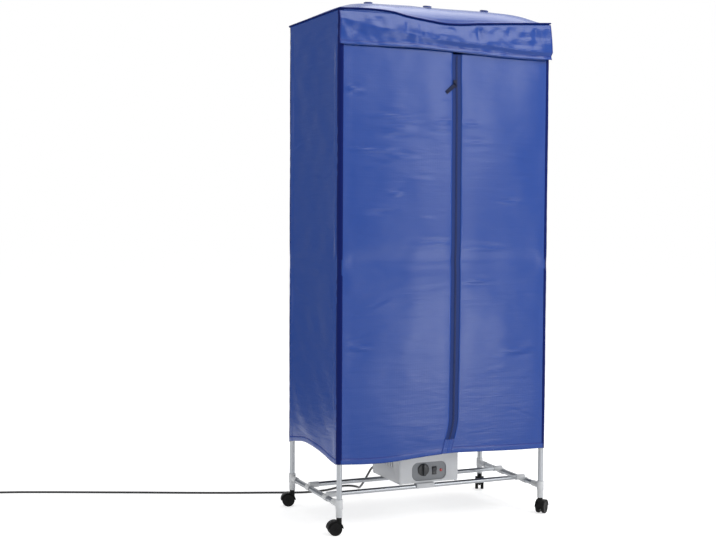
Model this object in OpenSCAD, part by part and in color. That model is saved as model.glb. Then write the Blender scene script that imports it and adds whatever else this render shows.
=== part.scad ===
// Portable clothes-drying cabinet: a tube frame on four twin-wheel casters, a cloth
// cover with a zipped front and a top flap, and a fan heater on the base rails.
// Millimetres. Origin on the floor under the middle of the frame, +X to the right
// seen from the front, +Y to the back, +Z up.

/* [Frame] */
// Distance between the leg axes, side to side
leg_span_x = 682; // [600:2:800]
// Distance between the leg axes, front to back
leg_span_y = 392; // [340:2:460]
// Outer diameter of the legs and side rails
tube_d = 16; // [14:0.5:19]
// Outer diameter of the cross rails and hanging rods
rod_d = 14; // [11:0.5:14]
// Wall of every tube
tube_wall = 1; // [0.8:0.1:1.5]
// Height of the top of the frame
frame_top_z = 1522; // [1300:2:1650]
// Height of the joint between the lower and upper legs
mid_joint_z = 784; // [650:2:860]
// Height of the base side rails' axes
base_rail_z = 89; // [86:1:110]
// Rise of the cross rails' axes over the base side rails' axes
cross_rail_rise = 9; // [6:1:14]
// Position of the front cross rail
front_cross_y = -97; // [-110:1:-80]
// Position of the back cross rail
back_cross_y = 47; // [30:1:70]
// Distance between the two hanging rods of a tier
rod_spacing = 196; // [120:2:240]

/* [Plastic joints] */
// Wall of the base connectors round a tube
socket_wall = 1.5; // [1.2:0.1:3]
// Depth of tube held in a socket
socket_depth = 22; // [16:1:30]
// Length of the collar between the lower and upper legs
collar_len = 30; // [24:1:40]
// Clearance between a tube and the plastic that holds it
tube_fit = 0.1; // [0.05:0.05:0.25]

/* [Casters] */
// Height of the casters, floor to the base connectors
caster_h = 52; // [50:0.5:58]
// Diameter of the caster wheels
wheel_d = 40; // [36:0.5:42]
// Width of one caster wheel
wheel_w = 10.5; // [8:0.5:12]
// Gap between the two wheels of a caster
wheel_gap = 8; // [6:0.5:10]
// Distance from the swivel axis to the axle
trail = 13; // [10:0.5:16]
// Diameter of the caster stems
stem_d = 8; // [6:0.5:10]
// Diameter of the wheels' stub axles
axle_d = 6; // [4:0.5:7]
// Radial running clearance of stems, axles, knob and fan
run_fit = 0.05; // [0.02:0.01:0.1]

/* [Cover] */
// Thickness of the cloth panels
cloth_t = 1.5; // [1:0.1:2]
// Clearance between the cloth and the frame
cloth_gap = 0.3; // [0.2:0.05:0.6]
// Height of the lower hem
hem_z = 208; // [180:1:260]
// Rise of the side hems at their middle
hem_arch = 22; // [10:1:40]
// Rise of the bulging top over its edges
roof_dome = 41; // [15:1:60]
// Sag of the front and back top edges at their middle
roof_sag = 22; // [8:1:30]
// Depth of the flap at its middle
flap_drop = 104; // [80:1:140]
// Difference in height between the flap's two lower corners
flap_slant = 13; // [0:1:20]
// Depth of the flap's folds
flap_fold = 3; // [1:0.5:5]
// Number of the flap's folds
flap_folds = 7; // [3:1:11]
// Gap between the flap's lower edge and the doors
flap_gap = 3; // [2:0.5:8]
// Diameter of the piping round the top
piping_d = 5; // [3:0.5:6]
// Diameter of the caps over the roof vents
vent_d = 26; // [18:1:40]
// Distance between the roof vents
vent_spacing = 195; // [120:5:220]

/* [Zip] */
// Sideways place of the zip
zip_x = 28; // [-40:1:60]
// Visible width of the whole zip band
zip_band = 29; // [22:1:40]
// Width of one row of zip teeth
teeth_w = 2.6; // [1.5:0.1:4]
// Slot between the two rows of teeth
teeth_gap = 1.6; // [1.2:0.1:2.4]
// Height of the zip slider
slider_h = 22; // [14:1:30]
// Width of the zip slider's front plate
slider_w = 11; // [8:0.5:14]
// Distance from the top of the doors to the slider, at rest
slider_drop = 90; // [60:2:300]
// Length of the zip pull
pull_len = 40; // [25:1:60]
// Tilt of the zip pull, where it lies at rest
pull_tilt = 50; // [0:5:60]

/* [Heater] */
// Width of the heater
heater_w = 204; // [180:2:240]
// Depth of the heater
heater_d = 205; // [190:1:240]
// Height of the heater's shell
heater_h = 126; // [120:1:160]
// Position of the heater's front face
heater_front_y = -100; // [-115:1:-95]
// Wall of the heater's shells
shell_t = 2.5; // [2:0.1:3.5]
// Width of the control window
window_w = 118; // [110:1:130]
// Height of the control window
window_h = 57; // [52:1:64]
// Diameter of the timer knob
knob_d = 38; // [30:1:44]
// Diameter of the fan
fan_d = 116; // [90:1:130]
// Number of fan blades
fan_blades = 9; // [5:1:11]
// Width of the clips between heater and rails
clip_w = 60; // [40:1:80]

/* [Cord] */
// Diameter of the power cord
cord_d = 7; // [6:0.5:8]
// Length of the strain relief
relief_len = 24; // [20:1:40]

/* [Hidden] */

$fn = 64;
eps = 0.01;

// Frame
leg_x = leg_span_x / 2;
leg_y = leg_span_y / 2;
tube_r = tube_d / 2;
rod_r = rod_d / 2;
spigot_r = tube_r - tube_wall - tube_fit;
socket_r = tube_r + tube_fit + socket_wall;
rod_socket_r = rod_r + tube_fit + socket_wall;
cross_rail_z = base_rail_z + cross_rail_rise;
leg_seat_z = base_rail_z - tube_r - 1;
hub_top_z = base_rail_z + tube_r + 7;
arm_len = tube_r + 14;
top_rail_z = frame_top_z - tube_r - 2;
rail_half = leg_y - arm_len;
tee_half = rod_socket_r + 5;
tee_reach = socket_r + 12;
rod_seam = 0.05;

// Corners: name, side, end, and the heading of the caster's trail
CORNERS = [["fl", -1, -1, 172], ["fr", 1, -1, 38], ["bl", -1, 1, 165], ["br", 1, 1, 241]];

// Casters
wheel_r = wheel_d / 2;
hood_gap = 1.5;
hood_t = 2.2;
hood_in_r = wheel_r + hood_gap;
hood_r = hood_in_r + hood_t;
hood_w = wheel_gap + 2 * wheel_w;
web_w = wheel_gap - 1.5;
swivel_gap = 0.3;
boss_r = 8;
stem_len = 22;
stub_head_r = axle_d / 2 + 1.3;
hub_recess = 2.2;

// Cover
cover_in_x = leg_x + tube_r + cloth_gap;
cover_in_y = leg_y + tube_r + cloth_gap;
cover_x = cover_in_x + cloth_t;
cover_y = cover_in_y + cloth_t;
roof_z = frame_top_z + cloth_gap;
binding_r = tube_r + cloth_gap + cloth_t;
seam_gap = 0.3;
sag_half = leg_x - tube_r - 8;
sag_r = (sag_half * sag_half + roof_sag * roof_sag) / (2 * roof_sag);
arch_half = leg_y - 4;
arch_r = (arch_half * arch_half + hem_arch * hem_arch) / (2 * hem_arch);
vent_t = 5;
vent_y = -115;
vent_shift_x = -27;
door_out_y = -cover_y;
hinge_x = leg_x + 0.15;

// Drop of the front and back top edges at x
function edge_sag(x) = abs(x) >= sag_half ? 0 : sqrt(sag_r * sag_r - x * x) - (sag_r - roof_sag);
// Height of the roof's underside over its edges
function roof_rise(x, y) = roof_dome * (1 - pow(abs(x) / cover_x, 6)) * (1 - pow(abs(y) / cover_y, 4))
    - edge_sag(x) * pow(abs(y) / cover_y, 5);
// Slopes of the roof along x and along y
function roof_slope_x(x) = -6 * roof_dome * sign(x) * pow(abs(x) / cover_x, 5) / cover_x;
function roof_slope_y(x, y) = -sign(y) * pow(abs(y) / cover_y, 3) / cover_y
    * (4 * roof_dome * (1 - pow(abs(x) / cover_x, 6)) + 5 * edge_sag(x) * abs(y) / cover_y);

// Flap: its upper edge hangs under the piping, its lower edge slants
flap_top_clear = piping_d / 2 + 1.3;
// Under the sagging piping the flap starts this much lower, so that it swings up clear of it
flap_swing_room = 5.6;
flap_t = 1.4;
flap_cols = 42;
flap_rows = 7;
flap_half = cover_x - 2;
flap_low_z = roof_z - flap_drop;
function flap_upper_z(x) = roof_z - flap_top_clear
    - (edge_sag(x) > 0 ? max(edge_sag(x), flap_swing_room) : 0);
function flap_lower_z(x) = flap_low_z - flap_slant * x / (2 * cover_x);
function seam_z(x) = flap_lower_z(x) - flap_gap;

// Zip
zip_top_z = seam_z(zip_x);
tape_t = 0.9;
tape_y = door_out_y + cloth_t;
teeth_in = teeth_gap / 2;
teeth_out = teeth_in + teeth_w;
tape_over = 2;
slider_z = zip_top_z - slider_drop;
slider_clear = 0.3;
slider_plate = 1.6;
slider_front_y = door_out_y - slider_clear - slider_plate;
slider_back_y = tape_y + tape_t + slider_clear;
web_t = 0.6;
crown_pin_r = 0.9;
crown_out = 4;
crown_w = 7;
pull_eye_gap = 0.35;
pull_w = 11;
pull_t = 1.6;

// Heater
heater_bottom_z = cross_rail_z + rod_r + 3;
base_plate_t = 4;
heater_top_z = heater_bottom_z + base_plate_t + heater_h;
heater_back_y = heater_front_y + heater_d;
heater_mid_y = (heater_front_y + heater_back_y) / 2;
shell_r = 7;
window_z = heater_bottom_z + base_plate_t + 31;
window_r = 20;
panel_recess = 3;
panel_t = 3;
panel_front_y = heater_front_y + panel_recess;
panel_back_y = panel_front_y + panel_t;
knob_x = -19;
knob_z = window_z + 5;
knob_len = 13;
knob_boss_r = 4;
shaft_r = 3;
rocker_x = 19;
rocker_w = 14;
rocker_h = 24;
rocker_tilt = 9;
rocker_pin_r = 1.5;
rocker_pin_y = panel_back_y + 1.8;
lens_x = 42;
lens_r = 4.5;
motor_r = 26;
motor_h = 30;
motor_z = heater_bottom_z + base_plate_t;
fan_z = motor_z + motor_h + 6;
fan_h = 24;
fan_hub_r = 16;
fan_shaft_r = 3;
element_z = fan_z + fan_h + 8;
element_h = 16;
element_half = fan_d / 2;
grille_r = fan_d / 2 + 8;
grille_t = 3;
boss_x = heater_w / 2 - shell_r;
boss_y = heater_d / 2 - shell_r;
screw_r = 2;
screw_head_r = 4;
clip_x = -15;
clip_half = rod_r + 5;
relief_x = 30 - heater_w / 2;
relief_z = heater_bottom_z + 12;
relief_r = 6;

// Cord: centreline points from the strain relief's tip to the plug's tail
cord_r = cord_d / 2;
cord_sides = 8;
cord_steps = 2;
relief_tip_y = heater_back_y + relief_len;
plug_z = 19;
CORD = [
    [relief_x, relief_tip_y, relief_z], [relief_x, 150, 116], [relief_x, 176, 104], [-73, 200, 82],
    [-73, 225, 58], [-70, 254, 37], [-63, 288, 20], [-53, 322, 9], [-46, 350, 4.5],
    [-50.5, 369, 3.5], [-63, 381.5, 3.5], [-80, 386, 3.5], [-97, 382, 3.5], [-125, 365, 3.5],
    [-158, 350, 3.5],
    [-205, 343, 3.5], [-255, 348, 3.5], [-312, 369, 3.5], [-378, 394, 3.5], [-444, 418, 3.5],
    [-510, 444, 3.5], [-580, 473, 3.5], [-659, 507, 3.5], [-740, 543, 3.5], [-820, 577, 3.5],
    [-900, 611, 3.5], [-980, 645, 3.5], [-1060, 678, 3.5], [-1140, 709, 3.5],
    [-1220, 732, 3.5], [-1286, 733, 3.5], [-1330, 704, 4], [-1342, 656, 9],
    [-1334, 618, 16], [-1326, 590, plug_z]
];
plug_heading = atan2(590 - 618, -1326 + 1334);

// Colours
chrome_colour = "#c9cdd1";
joint_colour = "#d4d6d8";
black_colour = "#16171a";
cloth_colour = "#3a57a8";
binding_colour = "#0f2260";
shell_colour = "#c3c6c9";
panel_colour = "#7b7f82";

// A round bar or tube along +X, +Y or +Z, centred on its own origin
module bar(len, r) { cylinder(h = len, r = r, center = true); }
module bar_x(len, r) { rotate([0, 90, 0]) bar(len, r); }
module bar_y(len, r) { rotate([90, 0, 0]) bar(len, r); }
module tube_z(z0, z1, r) {
    translate([0, 0, z0]) difference() {
        cylinder(h = z1 - z0, r = r);
        translate([0, 0, -1]) cylinder(h = z1 - z0 + 2, r = r - tube_wall);
    }
}
module tube_y(half, r) {
    difference() {
        bar_y(2 * half, r);
        bar_y(2 * half + 2, r - tube_wall);
    }
}
module at_corner(c) { translate([c[1] * leg_x, c[2] * leg_y, 0]) children(); }
// A rectangle with round corners, centred
module round_rect(w, h, r) {
    square([w - 2 * r, h], center = true);
    square([w, h - 2 * r], center = true);
    for (sx = [-1, 1], sy = [-1, 1])
        translate([sx * (w / 2 - r), sy * (h / 2 - r)]) circle(r);
}

// ---- Frame ----
module leg_lower(c) {
    color(chrome_colour) at_corner(c) tube_z(leg_seat_z, mid_joint_z - collar_len / 2, tube_r);
}
module upper_legs() {
    color(chrome_colour) for (c = CORNERS)
        at_corner(c) tube_z(mid_joint_z + collar_len / 2, top_rail_z - tube_r - 2, tube_r);
}
// A collar flush with the tubes, with spigots down, up and towards the mid rail
module leg_joints() {
    color(joint_colour) for (c = CORNERS) at_corner(c) {
        translate([0, 0, mid_joint_z]) {
            bar(collar_len, tube_r);
            bar(collar_len + 2 * socket_depth, spigot_r);
            translate([0, -c[2] * arm_len / 2, 0]) bar_y(arm_len, tube_r);
            translate([0, -c[2] * (arm_len + socket_depth) / 2, 0])
                bar_y(arm_len + socket_depth, spigot_r);
        }
    }
}
module top_connectors() {
    cap_bottom = top_rail_z - tube_r - 2;
    color(joint_colour) for (c = CORNERS) at_corner(c) {
        translate([0, 0, cap_bottom]) cylinder(h = frame_top_z - cap_bottom, r = tube_r);
        translate([0, 0, cap_bottom - socket_depth])
            cylinder(h = socket_depth + 1, r = spigot_r);
        translate([0, -c[2] * arm_len / 2, top_rail_z]) bar_y(arm_len, tube_r);
        translate([0, -c[2] * (arm_len + socket_depth) / 2, top_rail_z])
            bar_y(arm_len + socket_depth, spigot_r);
    }
}
// Holds a leg from above, a side rail from the side and a caster stem from below
module base_connectors() {
    color(joint_colour) for (c = CORNERS) at_corner(c) difference() {
        union() {
            translate([0, 0, caster_h]) cylinder(h = hub_top_z - caster_h, r = socket_r);
            translate([0, 0, leg_seat_z - 4])
                cylinder(h = hub_top_z - leg_seat_z + 4, r = socket_r + 1.2);
            translate([0, -c[2] * (arm_len + socket_depth) / 2, base_rail_z])
                bar_y(arm_len + socket_depth, socket_r);
        }
        translate([0, 0, leg_seat_z]) cylinder(h = 100, r = tube_r + tube_fit);
        translate([0, -c[2] * (arm_len + 50), base_rail_z]) bar_y(100, tube_r + tube_fit);
        translate([0, 0, caster_h - 1])
            cylinder(h = stem_len + 2, r = stem_d / 2 + run_fit);
    }
}
module base_rail(side) {
    color(chrome_colour) translate([side * leg_x, 0, base_rail_z]) tube_y(rail_half, tube_r);
}
cross_half = leg_x - socket_r - 1.2;
module cross_rail(y) {
    color(chrome_colour) translate([0, y, cross_rail_z]) difference() {
        bar_x(2 * cross_half, rod_r);
        bar_x(2 * cross_half + 2, rod_r - tube_wall);
    }
}
// Saddles that hold the cross rails' ends on the side rails
module rail_tees() {
    color(joint_colour) for (side = [-1, 1], y = [front_cross_y, back_cross_y])
        translate([side * leg_x, y, 0]) difference() {
            union() {
                translate([0, 0, base_rail_z]) bar_y(2 * tee_half, socket_r);
                translate([-side * (socket_r + tee_reach) / 2, 0, cross_rail_z])
                    bar_x(socket_r + tee_reach, rod_socket_r);
            }
            translate([0, 0, base_rail_z]) bar_y(4 * tee_half, tube_r + tube_fit);
            translate([-side * (socket_r + 1 + 50), 0, cross_rail_z])
                bar_x(100, rod_r + tube_fit);
        }
}
module side_rail_pair(z) {
    color(chrome_colour) for (side = [-1, 1])
        translate([side * leg_x, 0, z]) tube_y(rail_half, tube_r);
}
module mid_rails() { side_rail_pair(mid_joint_z); }
module top_rails() { side_rail_pair(top_rail_z); }
// Hanging rods with ends coped to the side rails
module rod_pair(z) {
    color(chrome_colour) for (s = [-1, 1]) translate([0, s * rod_spacing / 2, z]) difference() {
        bar_x(2 * leg_x, rod_r);
        bar_x(2 * leg_x + 2, rod_r - tube_wall);
        for (side = [-1, 1]) translate([side * leg_x, 0, 0]) bar_y(rod_d + 4, tube_r + rod_seam);
    }
}
module upper_rods() { rod_pair(top_rail_z); }
module lower_rods() { rod_pair(mid_joint_z); }

// ---- Casters ----
module on_caster(c) { at_corner(c) rotate([0, 0, c[3]]) children(); }
module on_axle() { translate([trail, 0, wheel_r]) children(); }
module caster_hood(c) {
    shoulder_z = caster_h - swivel_gap;
    color(black_colour) on_caster(c) {
        // Shell over the wheels
        on_axle() difference() {
            bar_y(hood_w, hood_r);
            bar_y(hood_w + 2, hood_in_r);
            translate([0, 0, 1 - hood_r]) cube([3 * hood_r, 3 * hood_w, 2 * hood_r], center = true);
        }
        // Web between the wheels, with the stub axle and its heads
        on_axle() intersection() {
            bar_y(web_w, hood_r - eps);
            union() {
                translate([0, 0, hood_r]) cube([3 * hood_r, 3 * web_w, 2 * hood_r], center = true);
                bar_y(web_w, axle_d / 2 + 5);
            }
        }
        on_axle() bar_y(hood_w - 1.2, axle_d / 2);
        on_axle() for (s = [-1, 1]) translate([0, s * (hood_w / 2 - 1.1), 0]) bar_y(1, stub_head_r);
        // Swivel boss, cut clear of the wheels, and the stem
        difference() {
            translate([0, 0, wheel_r]) cylinder(h = shoulder_z - wheel_r, r = boss_r);
            for (s = [-1, 1]) translate([trail, s * (web_w / 2 + wheel_w), wheel_r])
                bar_y(2 * wheel_w, hood_in_r);
        }
        cylinder_from(shoulder_z - 1, caster_h + stem_len - 1, stem_d / 2);
    }
}
module cylinder_from(z0, z1, r) { translate([0, 0, z0]) cylinder(h = z1 - z0, r = r); }
module caster_wheel(c, s) {
    edge = 1.6;
    bore = axle_d / 2 + run_fit;
    recess_r = stub_head_r + 0.6;
    color(black_colour) on_caster(c) on_axle() rotate([s * 90, 0, 0])
        translate([0, 0, -(wheel_gap / 2 + wheel_w)]) difference() {
            rotate_extrude() polygon([
                [bore, hub_recess], [recess_r, hub_recess], [recess_r, 0.8], [wheel_r - 4.5, 0.8],
                [wheel_r - 3.5, 0], [wheel_r - edge, 0], [wheel_r, edge], [wheel_r, wheel_w - edge],
                [wheel_r - edge, wheel_w], [bore, wheel_w]
            ]);
        }
}

// ---- Cover ----
// A thin roof: a grid of points under and over the cloth, closed round its rim
module cover_top() {
    cols = 24;
    rows = 14;
    function px(i) = -cover_x + 2 * cover_x * i / cols;
    function py(j) = -cover_y + 2 * cover_y * j / rows;
    color(cloth_colour) closed_sheet(cols, rows, [for (level = [0, 1]) each
        [for (j = [0:rows]) each [for (i = [0:cols])
            [px(i), py(j), roof_z + roof_rise(px(i), py(j)) + level * cloth_t]]]]);
}
// Two grids of points, the second one above or outside the first, made one closed solid
module closed_sheet(cols, rows, points) {
    row = cols + 1;
    level = row * (rows + 1);
    function quad(a, b, c, d) = [[a, b, c], [a, c, d]];
    faces = concat(
        [for (j = [0:rows - 1], i = [0:cols - 1]) let (a = j * row + i)
            each quad(a, a + 1, a + row + 1, a + row)],
        [for (j = [0:rows - 1], i = [0:cols - 1]) let (a = level + j * row + i)
            each quad(a + row + 1, a + 1, a, a + row)],
        [for (i = [0:cols - 1]) each quad(i + level, i + 1 + level, i + 1, i)],
        [for (i = [0:cols - 1]) let (a = rows * row + i)
            each quad(a, a + 1, a + 1 + level, a + level)],
        [for (j = [0:rows - 1]) let (a = j * row)
            each quad(a, a + row, a + row + level, a + level)],
        [for (j = [0:rows - 1]) let (a = j * row + cols)
            each quad(a + level, a + row + level, a + row, a)]);
    polyhedron(points = points, faces = faces, convexity = 6);
}
module side_panel(side) {
    half = leg_y - seam_gap;
    color(cloth_colour) translate([side * (cover_in_x + cloth_t / 2), 0, 0])
        rotate([90, 0, 90]) linear_extrude(cloth_t, center = true) difference() {
            translate([-half, hem_z]) square([2 * half, roof_z - hem_z]);
            translate([0, hem_z + hem_arch - arch_r]) circle(arch_r, $fn = 180);
        }
}
module cover_left() { side_panel(-1); }
module cover_right() { side_panel(1); }
// An upright panel between two heights, cut along its sagging top edge
module sagging_panel(y, outline) {
    half = leg_x - seam_gap;
    color(cloth_colour) translate([0, y, 0]) rotate([90, 0, 0])
        linear_extrude(cloth_t, center = true) difference() {
            polygon(outline);
            translate([0, roof_z - seam_gap - roof_sag + sag_r]) circle(sag_r, $fn = 360);
        }
}
module cover_back() {
    half = leg_x - seam_gap;
    top = roof_z - seam_gap;
    sagging_panel(cover_y - cloth_t / 2, [[-half, hem_z], [half, hem_z], [half, top], [-half, top]]);
}
module cover_header() {
    half = leg_x - seam_gap;
    top = roof_z - seam_gap;
    lift = seam_gap;
    sagging_panel(door_out_y + cloth_t / 2, [
        [-half, seam_z(-half) + lift], [half, seam_z(half) + lift], [half, top], [-half, top]]);
}
// The dark binding round each upright corner, wrapped round its leg
module corner_bindings() {
    color(binding_colour) for (c = CORNERS) at_corner(c) translate([0, 0, hem_z])
        rotate([0, 0, c[1] > 0 ? (c[2] > 0 ? 0 : 270) : (c[2] > 0 ? 90 : 180)])
            rotate_extrude(angle = 90) translate([binding_r - cloth_t, 0])
                square([cloth_t, roof_z - seam_gap - hem_z]);
}
// Piping round the roof's edge; its front and back runs follow the sag
module top_piping() {
    r = piping_d / 2;
    z = roof_z + cloth_t / 2;
    edge_x = cover_x + r + seam_gap;
    edge_y = cover_y + r + seam_gap;
    run_half = sag_half + r;
    sweep = 2 * asin(sag_half / sag_r);
    color(binding_colour) {
        for (s = [-1, 1]) {
            translate([s * edge_x, 0, z]) bar_y(2 * edge_y, r);
            for (t = [-1, 1]) translate([t * (edge_x + sag_half) / 2, s * edge_y, z])
                bar_x(edge_x - sag_half + eps, r);
            translate([0, s * edge_y, z - roof_sag + sag_r]) rotate([90, 0, 0])
                rotate([0, 0, 270 - sweep / 2])
                    rotate_extrude(angle = sweep, $fn = 360) translate([sag_r, 0]) circle(r, $fn = 32);
        }
        for (sx = [-1, 1], sy = [-1, 1]) translate([sx * edge_x, sy * edge_y, z]) sphere(r);
    }
}
module vent_caps() {
    color(binding_colour) for (i = [-1, 0, 1]) {
        x = vent_shift_x + i * vent_spacing;
        translate([x, vent_y, roof_z + cloth_t + roof_rise(x, vent_y)])
            rotate([atan(roof_slope_y(x, vent_y)), -atan(roof_slope_x(x)), 0])
            translate([0, 0, seam_gap]) {
                cylinder(h = vent_t - 1, r = vent_d / 2);
                cylinder(h = vent_t, r = vent_d / 2 - 4);
            }
    }
}
// One leaf of the front, from its corner binding to the zip
module door(side) {
    corner_x = side * (hinge_x - seam_gap);
    edge_x = zip_x + side * zip_band / 2;
    color(cloth_colour) translate([0, door_out_y + cloth_t / 2, 0]) rotate([90, 0, 0])
        linear_extrude(cloth_t, center = true) polygon([
            [corner_x, hem_z], [edge_x, hem_z], [edge_x, seam_z(edge_x)], [corner_x, seam_z(corner_x)]
        ]);
}
module door_left() { door(-1); }
module door_right() { door(1); }
// Half a zip: a tape behind the leaf's edge, with a row of teeth along its inner edge
module zip_tape(side) {
    reach = zip_band / 2 + tape_over;
    height = zip_top_z - 2 - hem_z;
    color(binding_colour) {
        translate([zip_x + side * (teeth_in + reach) / 2, tape_y + tape_t / 2, hem_z + height / 2])
            cube([reach - teeth_in, tape_t, height], center = true);
        translate([zip_x + side * (teeth_in + teeth_out) / 2,
            (door_out_y + 0.2 + tape_y + tape_t) / 2, hem_z + height / 2])
            cube([teeth_w, tape_y + tape_t - door_out_y - 0.2, height], center = true);
    }
}
module zip_tape_left() { zip_tape(-1); }
module zip_tape_right() { zip_tape(1); }
module at_slider() {
    translate([zip_x, 0, slider_z]) children();
}
// Crown of the slider, where the pull hinges
crown_x = -slider_w / 2 - 0.3;
crown_y = slider_front_y - crown_out / 2 - 0.3;
module at_crown() { translate([crown_x, crown_y, -2]) rotate([0, pull_tilt, 0]) children(); }
module zip_slider() {
    x0 = -slider_w - 0.3;
    web_x = -teeth_in + 0.3;
    color("#8d9299") at_slider() {
        translate([x0, slider_front_y, -slider_h / 2])
            cube([slider_w + 0.3 + web_x + web_t, slider_plate, slider_h]);
        translate([x0, slider_back_y, -slider_h / 2])
            cube([slider_w + 0.3 + web_x + web_t, 1.2, slider_h]);
        translate([web_x, slider_front_y, -slider_h / 2])
            cube([web_t, slider_back_y + 1.2 - slider_front_y, slider_h]);
        at_crown() {
            bar_x(crown_w, crown_pin_r);
            for (s = [-1, 1]) translate([s * (crown_w / 2 - 0.7), 0, 0]) {
                bar_x(1.4, crown_out / 2 + 0.3);
                translate([-0.7, 0, -1.2]) cube([1.4, slider_front_y - crown_y + 0.5, 2.4]);
            }
        }
    }
}
module zip_pull() {
    eye_w = crown_w - 2.8 - 2 * pull_eye_gap;
    eye_r = crown_pin_r + run_fit + 1;
    color("#3b4048") at_slider() at_crown() difference() {
        union() {
            bar_x(eye_w, eye_r);
            translate([-eye_w / 2, -pull_t / 2, -5]) cube([eye_w, pull_t, 5]);
            translate([0, pull_t / 2, -5 - (pull_len - 5) / 2]) rotate([90, 0, 0])
                linear_extrude(pull_t) round_rect(pull_w, pull_len - 5, 3);
        }
        bar_x(eye_w + 2, crown_pin_r + run_fit);
    }
}
// The flap: a sheet that bulges and folds towards its lower edge
module front_flap() {
    y0 = door_out_y - seam_gap - 0.2;
    function fx(i) = -flap_half + 2 * flap_half * i / flap_cols;
    function fold(x, s) = s * (5 + flap_fold * (1 + sin(360 * flap_folds * x / (2 * flap_half))));
    function fz(x, s) = flap_upper_z(x) * (1 - s) + flap_lower_z(x) * s;
    color("#5a70b4") closed_sheet(flap_cols, flap_rows, [for (level = [0, 1]) each
        [for (j = [0:flap_rows]) each [for (i = [0:flap_cols])
            let (s = 1 - j / flap_rows, x = fx(i))
            [x, y0 - level * flap_t - fold(x, s), fz(x, s)]]]]);
}

// ---- Heater ----
module heater_base() {
    color(shell_colour) translate([0, heater_mid_y, heater_bottom_z]) difference() {
        linear_extrude(base_plate_t - 0.2) round_rect(heater_w - 2, heater_d - 2, shell_r - 1);
        for (i = [-3:3]) translate([i * 14, 0, -1]) linear_extrude(base_plate_t + 2)
            round_rect(5, 62, 2.4);
        for (sx = [-1, 1], sy = [-1, 1]) translate([sx * boss_x, sy * boss_y, -1])
            cylinder(h = base_plate_t + 2, r = screw_r + 0.2);
    }
}
module heater_cover() {
    z0 = heater_bottom_z + base_plate_t;
    color(shell_colour) difference() {
        union() {
            difference() {
                translate([0, heater_mid_y, z0]) linear_extrude(heater_h)
                    round_rect(heater_w, heater_d, shell_r);
                translate([0, heater_mid_y, z0 - 1]) linear_extrude(heater_h + 1 - shell_t)
                    round_rect(heater_w - 2 * shell_t, heater_d - 2 * shell_t, shell_r - shell_t);
            }
            for (sx = [-1, 1], sy = [-1, 1]) translate([sx * boss_x, heater_mid_y + sy * boss_y, z0])
                cylinder(h = 24, r = 5);
        }
        translate([0, heater_mid_y, heater_top_z - 10]) cylinder(h = 20, r = grille_r - 3);
        translate([0, heater_mid_y, heater_top_z - 1]) cylinder(h = 20, r = grille_r + 0.2);
        window_cut(window_w, window_h, window_r, heater_front_y - 1, shell_t + 2);
        for (sx = [-1, 1], sy = [-1, 1]) translate([sx * boss_x, heater_mid_y + sy * boss_y, z0 - 1])
            cylinder(h = 16, r = screw_r);
        translate([relief_x, heater_back_y, relief_z]) bar_y(3 * shell_t, relief_r + 0.2);
        for (side = [-1, 1], i = [-3:3])
            translate([side * heater_w / 2, heater_mid_y + i * 18, z0 + heater_h / 2])
                rotate([0, 90, 0]) linear_extrude(4 * shell_t, center = true) round_rect(46, 6, 2.9);
    }
}
// The control window's outline, cut front to back
module window_cut(w, h, r, y0, depth) {
    translate([0, y0 + depth, window_z]) rotate([90, 0, 0]) linear_extrude(depth) round_rect(w, h, r);
}
module control_panel() {
    color(panel_colour) difference() {
        union() {
            window_cut(window_w - 0.4, window_h - 0.4, window_r - 0.2, panel_front_y, panel_t);
            window_cut(window_w + 8, window_h - 0.4, 2, heater_front_y + shell_t + 0.2,
                panel_back_y - heater_front_y - shell_t - 0.2);
        }
        translate([knob_x, panel_front_y, knob_z]) bar_y(20, shaft_r + 0.5);
        translate([rocker_x, panel_front_y, window_z])
            cube([rocker_w + 1, 20, rocker_h + 1], center = true);
        translate([lens_x, panel_front_y, window_z]) bar_y(20, lens_r + 0.1);
    }
}
module timer_knob() {
    face_y = panel_front_y - 0.4;
    color(black_colour) translate([knob_x, face_y, knob_z]) {
        rotate([90, 0, 0]) rotate_extrude() polygon([
            [0, 0], [knob_d / 2, 0], [knob_d / 2, 2.4], [knob_d / 2 - 2, 3.4],
            [knob_d / 2 - 6, 4], [0, 4]
        ]);
        translate([0, -knob_len / 2, 0]) cube([7, knob_len, knob_d - 3], center = true);
        translate([0, 8, 0]) bar_y(17, shaft_r);
    }
}
module power_rocker() {
    color(black_colour) translate([rocker_x, rocker_pin_y, window_z]) {
        rotate([rocker_tilt, 0, 0]) difference() {
            translate([0, -3.4, 0]) cube([rocker_w - 0.6, 9.8, rocker_h - 2], center = true);
            translate([0, -27, 0]) bar_x(rocker_w, 20);
        }
        bar_x(rocker_w + 6, rocker_pin_r);
    }
}
module indicator_lens() {
    color("#d8452f") translate([lens_x, panel_front_y - 1, window_z]) rotate([-90, 0, 0])
        rotate_extrude() polygon([
            [0, -1], [lens_r - 1.5, -0.6], [lens_r, 0.6], [lens_r, 7], [0, 7]
        ]);
}
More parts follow.
